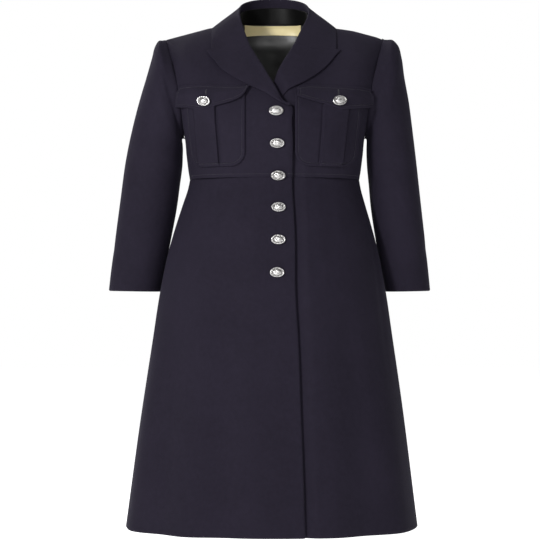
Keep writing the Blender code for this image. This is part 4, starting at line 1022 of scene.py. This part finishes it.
# A flap's places sideways, with its top and its lower edge.
flapShapes = {
    -1: table((
        (43.5, -112.5, -116), (50, -112.5, -128), (57, -112.3, -135), (71.5, -111.8, -141.2),
        (102.5, -110.5, -148.3), (122.6, -109.3, -153), (154, -108.5, -145), (177, -110, -142.5),
    ), ("x", "top", "bottom")),
    1: table((
        (40, -114.5, -133.5), (62, -111, -139.5), (90, -111.5, -146), (114.3, -112.8, -153),
        (131.6, -113, -150), (150, -113, -146.5), (180, -114.5, -142),
    ), ("x", "top", "bottom")),
}


def pocketLines(side, z):  # sides and pleat folds of a pocket at a height, as distances from the middle
    inner, *ends = (value * mm for value in pocketShapes[side])
    down = (pocketSizes["top"] - z) / (pocketSizes["top"] - pocketSizes["bottom"])
    outer, one, two = (mixed(ends[k], ends[k + 1], down) for k in (0, 2, 4))
    return down, inner + 0 * z, outer, one, two


def pocketPoint(side, place, z):
    sizes, fold = pocketSizes, pocketSizes["fold"]
    down, left, right, one, two = pocketLines(side, z)
    height = z - sizes["bottom"]
    fromSide = np.minimum(place - left, right - place)
    short = np.maximum(sizes["corner"] - fromSide, 0), np.maximum(sizes["corner"] - height, 0)
    edge = np.where((short[0] > 0) & (short[1] > 0), sizes["corner"] - np.hypot(*short), np.minimum(fromSide, height))
    slope = sizes["foldSlope"] * fold
    raised = sizes["rise"] * fade(0, 1, (place - one + fold) / slope) * fade(0, 1, (two + fold - place) / slope)
    middle = np.clip((place - one) / (two - one), 0, 1)
    swell = sizes["swell"] * np.sin(np.pi * middle) * fade(0, sizes["swellFull"], down)
    swell = swell * (1 - fade(sizes["swellEnd"], 1, down))
    roll = sizes["roll"] * (bump(place - one, sizes["rollWidth"]) + bump(place - two, sizes["rollWidth"]))
    beside = bump(place - one + sizes["grooveOff"], sizes["grooveWidth"])
    beside = beside + bump(place - two - sizes["grooveOff"], sizes["grooveWidth"])
    flatten = fade(0, sizes["flatEase"], height)
    lift = sizes["lift"] + body["thinWall"] + raised * (sizes["flatLow"] + (1 - sizes["flatLow"]) * flatten) + swell
    lift = lift + np.where((place > one - fold) & (place < two + fold), roll, 0) * flatten
    lift = lift - sizes["groove"] * beside * fade(0, sizes["grooveEase"], height)
    inset, dent = stitchDents["pocket"]
    lift = lift - dent * bump(edge - inset, dentWidth) + sizes["rim"] * bump(edge - sizes["rimIn"], sizes["rimWidth"])
    return frontPoint(side * place, z, lift)


def pocketGrid(side):
    sizes = pocketSizes
    share = np.sin(np.pi / 2 * np.linspace(0, 1, sizes["rows"])) ** sizes["rowPower"]
    z = mixed(sizes["top"], sizes["bottom"], share)
    inCorner = np.clip(sizes["corner"] - z + sizes["bottom"], 0, sizes["corner"])
    cut = sizes["corner"] - np.sqrt(sizes["corner"] ** 2 - inCorner ** 2)
    down, left, right, one, two = pocketLines(side, z)
    left, right, fold = left + cut, right - cut, sizes["fold"]
    two, back = np.minimum(two, right - sizes["foldRoom"] * fold), fold * sizes["foldBack"]
    plain, step = np.linspace(0, 1, sizes["plain"]), np.linspace(0, 1, sizes["step"])[1:-1]
    stops = (left, one - fold, one + back, two - back, two + fold, right)
    place = np.concatenate([mixed(a[:, None], b[:, None], share) for a, b, share in
                            zip(stops, stops[1:], (plain, step, plain, step, plain))], axis=1)
    z = z[:, None] + 0 * place
    return pocketPoint(side, place, z), panelUv(frontY, side * place, z)


def pocketStitchLine(side, count=220):  # inside the sides and the rounded bottom corners
    sizes, inset = pocketSizes, stitchDents["pocket"][0]
    radius, turn = sizes["corner"] - inset, np.linspace(0, np.pi / 2, 14)
    high = np.linspace(sizes["top"] - sizes["stitchTop"], sizes["bottom"] + sizes["corner"], 40)
    left = np.stack([pocketLines(side, high)[1] + inset, high], axis=-1)
    right = np.stack([pocketLines(side, high)[2] - inset, high], axis=-1)
    bend = np.stack([radius * (1 - np.cos(turn)), -radius * np.sin(turn)], axis=-1)
    low = np.concatenate([left[:-1], left[-1] + bend, (right[-1] + bend * [-1, 1])[::-1], right[:-1][::-1]])
    place, z = along(low, np.linspace(0, 1, count)).T
    outwards = unit(frontOut(side * place, z))
    return [pocketPoint(side, place, z) + outwards * threadLift], [outwards]


def flapPoint(x, z, lift):  # past holdX the flap leaves the chest and reaches over the armhole
    sizes, limit = flapSizes, flapSizes["holdX"]
    side = np.sign(x)
    lift = np.broadcast_to(lift, np.broadcast(x, z).shape)
    held = frontPoint(np.where(np.abs(x) > limit, side * limit, x), z, lift)
    near = frontPoint(side * (limit - sizes["step"]) + 0 * z, z, lift)
    edge = frontPoint(side * limit + 0 * z, z, lift)
    beyond = np.maximum(np.abs(x) - limit, 0)[..., None] * sizes["straight"]
    return held + (edge - near) / sizes["step"] * beyond


def flapGrid(side):
    data, sizes = flapShapes[side], flapSizes
    x = mixed(data["x"][0], data["x"][-1], denser(sizes["wide"], 2))
    kernel, half = np.hanning(sizes["smoothing"]), sizes["smoothing"] // 2
    low = np.interp(x, data["x"], data["bottom"])
    low[half:-half] = np.convolve(low, kernel / kernel.sum(), "valid")
    top = np.interp(x, data["x"], data["top"])
    down = np.linspace(0, 1, sizes["high"])[:, None]
    z = mixed(top, low, down)
    lift = mixed(flatLift, sizes["standOff"], fade(0, sizes["standFull"], down))
    edge = np.minimum(np.minimum(x - x[0], x[-1] - x)[None, :], z - low)
    inset, dent = stitchDents["flap"]
    lift = lift - dent * bump(edge - inset, dentWidth) + sizes["rim"] * bump(edge - sizes["rimIn"], sizes["rimWidth"])
    lift = lift - dent * bump(top - z - inset, sizes["topWidth"])
    curl = np.sin(np.pi * (x - x[0]) / (x[-1] - x[0]) * sizes["curls"] + sizes["curlStart"][side])
    lift = lift + sizes["curl"] * curl * fade(sizes["curlFrom"], 1, down)
    lift = lift + sizes["corner"] * fade(0, 1, down) * bump(x - x[0], sizes["cornerWidth"])
    return flapPoint(side * x + 0 * z, z, lift), panelUv(frontY, side * x + 0 * z, z)


flapGrids = {}
for side, word in bothSides:
    grid, uv = pocketGrid(side)
    woolPiece(f"pocket_{word}", grid, wallSizes["pocket"], held="laid", restsOn=[f"bodice_front_{word}_cloth"], uv=uv)
    flapGrids[side], uv = flapGrid(side)
    woolPiece(f"pocket_flap_{word}", flapGrids[side], wallSizes["flap"], held="laid",
              restsOn=[f"pocket_{word}_cloth"], uv=uv)
print("pockets and flaps made")


# Small rounded lengths set along paths: beads and stitches.
trimInputs = (("Pitch", "Float", 0.003), ("Length", "Float", 0.0024), ("Width", "Float", 0.0005),
              ("Height", "Float", 0.0004), ("Sides", "Int", 6), ("Seed", "Int", 3), ("Material", "Material", None))
trimSizes = {"rings": 5, "smallest": 0.9, "largest": 1.06}


def trimTree(name):
    tree = bpy.data.node_groups.new(name, "GeometryNodeTree")
    face, sockets = tree.interface, {}
    face.new_socket("Paths", in_out="INPUT", socket_type="NodeSocketGeometry")
    for label, kind, value in trimInputs:
        made = face.new_socket(label, in_out="INPUT", socket_type="NodeSocket" + kind)
        if value is not None:
            made.default_value = value
        sockets[label] = made.identifier
    face.new_socket("Trim", in_out="OUTPUT", socket_type="NodeSocketGeometry")

    def add(kind, inputs=None, **settings):
        node = tree.nodes.new(kind)
        for key, value in settings.items():
            setattr(node, key, value)
        for key, value in (inputs or {}).items():
            node.inputs[key].default_value = value
        return node

    start, end, curve = add("NodeGroupInput"), add("NodeGroupOutput"), add("GeometryNodeMeshToCurve")
    spaced = add("GeometryNodeResampleCurve", mode="LENGTH")
    bead = add("GeometryNodeMeshUVSphere", {"Rings": trimSizes["rings"], "Radius": 0.5})
    smooth, size, shaped = (add(kind) for kind in ("GeometryNodeSetShadeSmooth", "ShaderNodeCombineXYZ",
                                                   "GeometryNodeTransform"))
    tangent = add("GeometryNodeInputTangent")
    normal = add("GeometryNodeInputNamedAttribute", {"Name": "outward"}, data_type="FLOAT_VECTOR")
    lengthwise = add("FunctionNodeAlignRotationToVector", axis="X", pivot_axis="AUTO")
    upright = add("FunctionNodeAlignRotationToVector", axis="Z", pivot_axis="X")
    chance = add("FunctionNodeRandomValue", {2: trimSizes["smallest"], 3: trimSizes["largest"]}, data_type="FLOAT")
    placed, real, painted = (add("GeometryNode" + kind) for kind in ("InstanceOnPoints", "RealizeInstances",
                                                                     "SetMaterial"))
    for source, output, target, entry in (
        (start, "Paths", curve, "Mesh"), (curve, "Curve", spaced, "Curve"), (start, "Pitch", spaced, "Length"),
        (start, "Sides", bead, "Segments"), (start, "Length", size, "X"), (start, "Width", size, "Y"),
        (start, "Height", size, "Z"), (bead, "Mesh", smooth, "Geometry"), (smooth, "Geometry", shaped, "Geometry"),
        (size, "Vector", shaped, "Scale"), (tangent, "Tangent", lengthwise, "Vector"),
        (lengthwise, "Rotation", upright, "Rotation"), (normal, "Attribute", upright, "Vector"),
        (start, "Seed", chance, "Seed"), (spaced, "Curve", placed, "Points"),
        (shaped, "Geometry", placed, "Instance"),
        (upright, "Rotation", placed, "Rotation"), (chance, 1, placed, "Scale"),
        (placed, "Instances", real, "Geometry"), (real, "Geometry", painted, "Geometry"),
        (start, "Material", painted, "Material"), (painted, "Geometry", end, "Trim"),
    ):
        tree.links.new(source.outputs[output], target.inputs[entry])
    return tree, sockets


trimNodes, trimSockets = trimTree("trimAlongPaths")


def trimAlong(name, paths, outwards, material, sizes, closed=False):
    points, edges, normals = [], [], []
    for path, outward in zip(paths, outwards):
        start = len(points)
        points += [tuple(p) for p in path]
        normals += [tuple(n) for n in np.broadcast_to(outward, np.shape(path))]
        edges += [(start + k, start + k + 1) for k in range(len(path) - 1)]
        if closed:
            edges.append((start + len(path) - 1, start))
    mesh = bpy.data.meshes.new(name + "_path")
    mesh.from_pydata(points, edges, [])
    attribute = mesh.attributes.new("outward", "FLOAT_VECTOR", "POINT")
    attribute.data.foreach_set("vector", np.asarray(normals, np.float32).ravel())
    made = makeObject(name + "_path", mesh)
    trim = made.modifiers.new("Trim", "NODES")
    trim.node_group = trimNodes
    for label, value in {**sizes, "Material": material}.items():
        trim[trimSockets[label]] = value
    made.update_tag()
    graph = bpy.context.evaluated_depsgraph_get()
    result = bpy.data.meshes.new_from_object(made.evaluated_get(graph))
    bpy.data.objects.remove(made)
    result.name = name
    return makeObject(name, result)


# Buttons: cast domes in a rim, with a ring of beads.
# profile: distance from the middle and height, in shares of the radius and of tall.
buttonSizes = {
    "ratio": 0.675, "wide": 25.4 * mm, "tall": 5.6 * mm, "seat": 0.35 * mm, "around": 96, "steps": 61,
    "profile": ((0.0, 1.0), (0.16, 0.985), (0.32, 0.94), (0.46, 0.86), (0.555, 0.76), (0.60, 0.66), (0.625, 0.52),
                (0.66, 0.45), (0.72, 0.44), (0.78, 0.47), (0.80, 0.56), (0.845, 0.64), (0.90, 0.64), (0.95, 0.57),
                (0.985, 0.45), (1.0, 0.33), (0.985, 0.18), (0.94, 0.06), (0.86, 0.0), (0.4, 0.0), (0.0, 0.0)),
    "flutes": 12, "fluteDeep": 0.035, "fluteSpan": (0.12, 0.3, 0.44, 0.56), "knurls": 48, "knurlDeep": 0.02,
    "knurlSpan": (0.80, 0.87, 0.93, 0.99), "domeAbove": 0.5, "rimAbove": 0.3, "beads": 34, "beadAt": 0.705,
    "beadHigh": 0.44, "beadSize": 0.105 * 1.25, "beadTall": 1.1,
    "backFrom": 0.75, "backStain": 0.8, "fluteStain": 0.35,
    "grooves": ((0.645, 0.035, 0.75), (0.79, 0.02, 0.5)),
}
# Across, up, tilt in degrees, how far off the cloth under it.
buttonPlaces = {
    "button_front_1": (3.3, -157.4, 0, 0), "button_front_2": (5.1, -212.4, 0, 0),
    "button_front_3": (7.0, -267.9, 0, 1.2), "button_front_4": (7.5, -323.5, 0, 0),
    "button_front_5": (7.0, -379.6, 0, 0), "button_front_6": (5.0, -436.0, 0, 0),
    "button_pocket_right": (-119.5, -139.6, -8, 7.4), "button_pocket_left": (112, -140, 8, 7.4),
}


def skirtFront(x, z):  # the skirt's front at a sideways place
    x, z = np.array(x), np.array(z)
    return skirtPoint(skirtAngle(x, z), z)


def buttonMatrix(name):
    x, z, tilt, off = buttonPlaces[name]
    x, z, off = x * mm, z * mm, off * mm
    if z > body["waistZ"]:
        point, normal = frontPoint(x, z, off), frontOut(x, z)
    else:
        point = skirtFront(x, z)
        normal = np.cross(skirtFront(x + 2 * mm, z) - point, skirtFront(x, z + 5 * mm) - point)
    out = Vector(normal).normalized()
    if out.y > 0:
        out = -out
    across = Matrix.Rotation(math.radians(tilt), 3, out) @ Vector((0, 0, 1)).cross(out).normalized()
    matrix = Matrix((across, out.cross(across) * buttonSizes["ratio"], out)).transposed().to_4x4()
    matrix.translation = Vector(point) + out * buttonSizes["seat"]
    return np.array(matrix)


def spanFade(span, r):  # in and out again
    return fade(span[0], span[1], r) * (1 - fade(span[2], span[3], r))


def buttonMesh(name):
    matrix, sizes = buttonMatrix(name), buttonSizes
    radius, n = sizes["wide"] / 2, sizes["around"]
    profile, share = np.array(sizes["profile"]), np.linspace(0, 1, sizes["steps"])[:, None]
    r, h = (np.interp(share * (len(profile) - 1), np.arange(len(profile)), column) for column in profile.T)
    turn = np.linspace(0, 2 * np.pi, n, endpoint=False)
    petal = np.cos(turn * sizes["flutes"])[None, :] * spanFade(sizes["fluteSpan"], r) * (h > sizes["domeAbove"])
    h = h + sizes["fluteDeep"] * petal
    knurl = np.cos(turn * sizes["knurls"])[None, :] * spanFade(sizes["knurlSpan"], r) * (h > sizes["rimAbove"])
    h = h + sizes["knurlDeep"] * knurl
    grid = np.stack([r * radius * np.cos(turn), r * radius * np.sin(turn), h * sizes["tall"]], axis=-1)
    stain = sum(bump(r - at, width) * dark for at, width, dark in sizes["grooves"])
    stain = stain + sizes["fluteStain"] * np.clip(-petal, 0, 1)
    stain = np.where(share > sizes["backFrom"], sizes["backStain"], stain)

    def placed(points):
        return points @ matrix[:3, :3].T + matrix[:3, 3]

    points = placed(np.concatenate([grid[1:-1].reshape(-1, 3), grid[:1, 0], grid[-1:, 0]]))
    rows = sizes["steps"] - 2
    index = np.arange(rows * n).reshape(rows, n)
    following = np.roll(index, -1, axis=1)
    faces = np.stack([index[:-1], index[1:], following[1:], following[:-1]], axis=-1).reshape(-1, 4).tolist()
    faces += [[rows * n, int(index[0, k]), int(following[0, k])] for k in range(n)]
    faces += [[rows * n + 1, int(following[-1, k]), int(index[-1, k])] for k in range(n)]
    made = makeMesh(name + "_cast", points, faces, [buttonSilver])
    attribute = made.data.attributes.new("hollow", "FLOAT", "POINT")
    shade = np.concatenate([stain[1:-1].ravel(), [0.0, sizes["backStain"]]])
    attribute.data.foreach_set("value", shade.astype(np.float32))
    beadHeight = 0 * turn + sizes["beadHigh"] * sizes["tall"] / radius
    circle = np.stack([np.cos(turn) * sizes["beadAt"], np.sin(turn) * sizes["beadAt"], beadHeight], axis=-1)
    return made, placed(circle * radius), matrix[:3, 2]


for name in buttonPlaces:
    made, ringPath, outward = buttonMesh(name)
    dress(made, [name], "button_metal")
    size = buttonSizes["wide"] * buttonSizes["beadSize"] / 2
    girth = np.linalg.norm(ringPath - np.roll(ringPath, 1, axis=0), axis=1).sum()
    beads = {"Pitch": girth / buttonSizes["beads"], "Length": size, "Width": size,
             "Height": size * buttonSizes["beadTall"], "Sides": 8}
    dress(trimAlong(name + "_beads", [ringPath], [outward], buttonSilver, beads, closed=True), [], "button_metal")
print("buttons made")


# Edge stitching, flap buttonholes and the label's hand stitches.
seamStitch = {"Pitch": 0.0030, "Length": 0.0023, "Width": 0.00062, "Height": 0.00042, "Sides": 6, "Seed": 5}
handStitch = {"Pitch": 0.0026, "Length": 0.0013, "Width": 0.0003, "Height": 0.0002, "Sides": 6, "Seed": 9}
purlStitch = {"Pitch": 0.00055, "Length": 0.0005, "Width": 0.0013, "Height": 0.0007, "Sides": 6, "Seed": 7}
waistInset, labelInset, cornerShare = 5.0 * mm, 1.1 * mm, 0.97
allSides = ("top", "bottom", "left", "right")
buttonholeSizes = {"wide": 0.7 * mm, "top": -119 * mm, "low": -128 * mm, "in": 0.1 * mm, "near": 4}
buttonholeX = {"right": -118.2 * mm, "left": 111.8 * mm}


def insetPaths(grid, inset, sides):  # lines at a distance inside the sides of a sheet, with its normals
    normals = outwardNormals(grid)
    runs = {side: edgeDistance(grid, side) for side in sides}
    paths, outwards = [], []
    for side in sides:
        across = side in ("top", "bottom")
        values = np.concatenate([grid, normals, *(runs[s][..., None] for s in sides)], axis=-1)
        values, run = (values, runs[side]) if across else (np.swapaxes(values, 0, 1), runs[side].T)
        line = []
        for k in range(values.shape[1]):
            order = np.argsort(run[:, k])
            line.append([np.interp(inset, run[order, k], column) for column in values[order, k].T])
        line = np.array(line)
        for n, other in enumerate(sides):
            if (other in ("top", "bottom")) != across:
                line = line[line[:, 6 + n] > inset * cornerShare]
        paths.append(line[:, :3] + line[:, 3:6] * threadLift)
        outwards.append(line[:, 3:6])
    return paths, outwards


def buttonholePath(side, x):  # up one side of the slit, round its end and down again, on the flap
    sizes, wide = buttonholeSizes, buttonholeSizes["wide"]
    turn, up = np.linspace(0, np.pi, 9)[1:-1], np.linspace(sizes["low"], sizes["top"], 16)
    xs = np.concatenate([x - wide + 0 * up, x - wide * np.cos(turn), x + wide + 0 * up])
    zs = np.concatenate([up, sizes["top"] + wide * np.sin(turn), up[::-1]])
    grid = flapGrids[side].reshape(-1, 3)
    apart = (grid[None, :, 0] - xs[:, None]) ** 2 + (grid[None, :, 2] - zs[:, None]) ** 2
    nearest = np.argsort(apart, axis=1)[:, :sizes["near"]]
    weight = 1 / (np.take_along_axis(apart, nearest, 1) + 1e-9)
    y = (grid[nearest, 1] * weight).sum(axis=1) / weight.sum(axis=1)
    return [np.stack([xs, y - sizes["in"], zs], axis=-1)], [unit(frontOut(x, sizes["low"]))]


stitching = [(node, insetPaths(grid, waistInset, ["bottom"])) for node, grid in bodiceGrids.items()]
for side, word in bothSides:
    stitching.append((f"pocket_flap_{word}", insetPaths(flapGrids[side], stitchDents["flap"][0], allSides)))
for side, word in bothSides:
    stitching.append((f"pocket_{word}", pocketStitchLine(side)))
for node, lines in stitching:
    dress(trimAlong(node + "_stitching", *lines, coatThread, seamStitch), [], "coat_cloth")
lines = insetPaths(labelGrid, labelInset, allSides)
dress(trimAlong("neck_label_stitching", *lines, labelThread, handStitch), [], "label_satin")
for side, word in bothSides:
    lines = buttonholePath(side, buttonholeX[word])
    dress(trimAlong(f"pocket_flap_{word}_buttonhole", *lines, coatThread, purlStitch), [], "coat_cloth")
print("stitching made")


# Stage: plain pale floor, soft light from the upper left, the photograph's camera.
stageSizes = {"floorZ": -1.02, "half": 7.0, "dim": (0.93, 0.93, 0.93), "pale": (0.95, 0.95, 0.95), "glow": 0.8,
              "worldLight": 0.2, "aim": (0, 0, -0.35)}
cameraSizes = {"sensor": 36.0, "away": 3.0, "seen": 0.972, "place": (-0.0072, -3.0, -0.432)}
add, finish = newMaterial("stageWhite")
stageWhite = finish({
    "Base Color": tinted(add, noise(add, add("TexCoord"), 3.0), stageSizes["dim"], stageSizes["pale"]),
    "Roughness": 0.9, "Emission Color": (1.0, 1.0, 1.0, 1.0), "Emission Strength": stageSizes["glow"],
})
wide, low = stageSizes["half"], stageSizes["floorZ"]
corners = [(-wide, -wide, low), (wide, -wide, low), (wide, wide, low), (-wide, wide, low)]
floor = makeMesh("floor", corners, [(0, 1, 2, 3)], [stageWhite])

# The world is seen white but lights the coat only a little, so the folds keep their shade.
scene = bpy.context.scene
world = bpy.data.worlds.new("studio")
world.use_nodes = True
nodes, links = world.node_tree.nodes, world.node_tree.links
background, seen = nodes["Background"], nodes.new("ShaderNodeLightPath")
strength = nodes.new("ShaderNodeMapRange")
strength.inputs["To Min"].default_value, strength.inputs["To Max"].default_value = stageSizes["worldLight"], 1.0
links.new(seen.outputs["Is Camera Ray"], strength.inputs["Value"])
links.new(strength.outputs["Result"], background.inputs["Strength"])
background.inputs["Color"].default_value = (1.0, 1.0, 1.0, 1.0)
scene.world = world

for name, place, target, size, power in (
    ("keyLight", (-1.7, -2.4, 0.6), stageSizes["aim"], 0.5, 78),
    ("fillLight", (0.3, -3.2, 0.5), stageSizes["aim"], 1.2, 24),
    ("rimLight", (-1.2, 1.3, 1.2), (0, 0, -0.2), 0.9, 16),
    ("topLight", (0.2, 0.2, 2.2), (0, 0, -0.3), 1.6, 16),
):
    lamp = bpy.data.lights.new(name, "AREA")
    lamp.shape, lamp.size, lamp.energy = "DISK", size, power
    made = makeObject(name, lamp)
    made.location = place
    made.rotation_euler = (Vector(target) - Vector(place)).to_track_quat("-Z", "Y").to_euler()

cameraData = bpy.data.cameras.new("photoCamera")
cameraData.sensor_width = cameraSizes["sensor"]
cameraData.lens = cameraSizes["sensor"] * cameraSizes["away"] / cameraSizes["seen"]
camera = makeObject("photoCamera", cameraData)
camera.location = cameraSizes["place"]
camera.rotation_euler = (math.radians(90), 0, 0)
scene.camera = camera
scene.view_settings.view_transform = "Standard"

print("scene done")
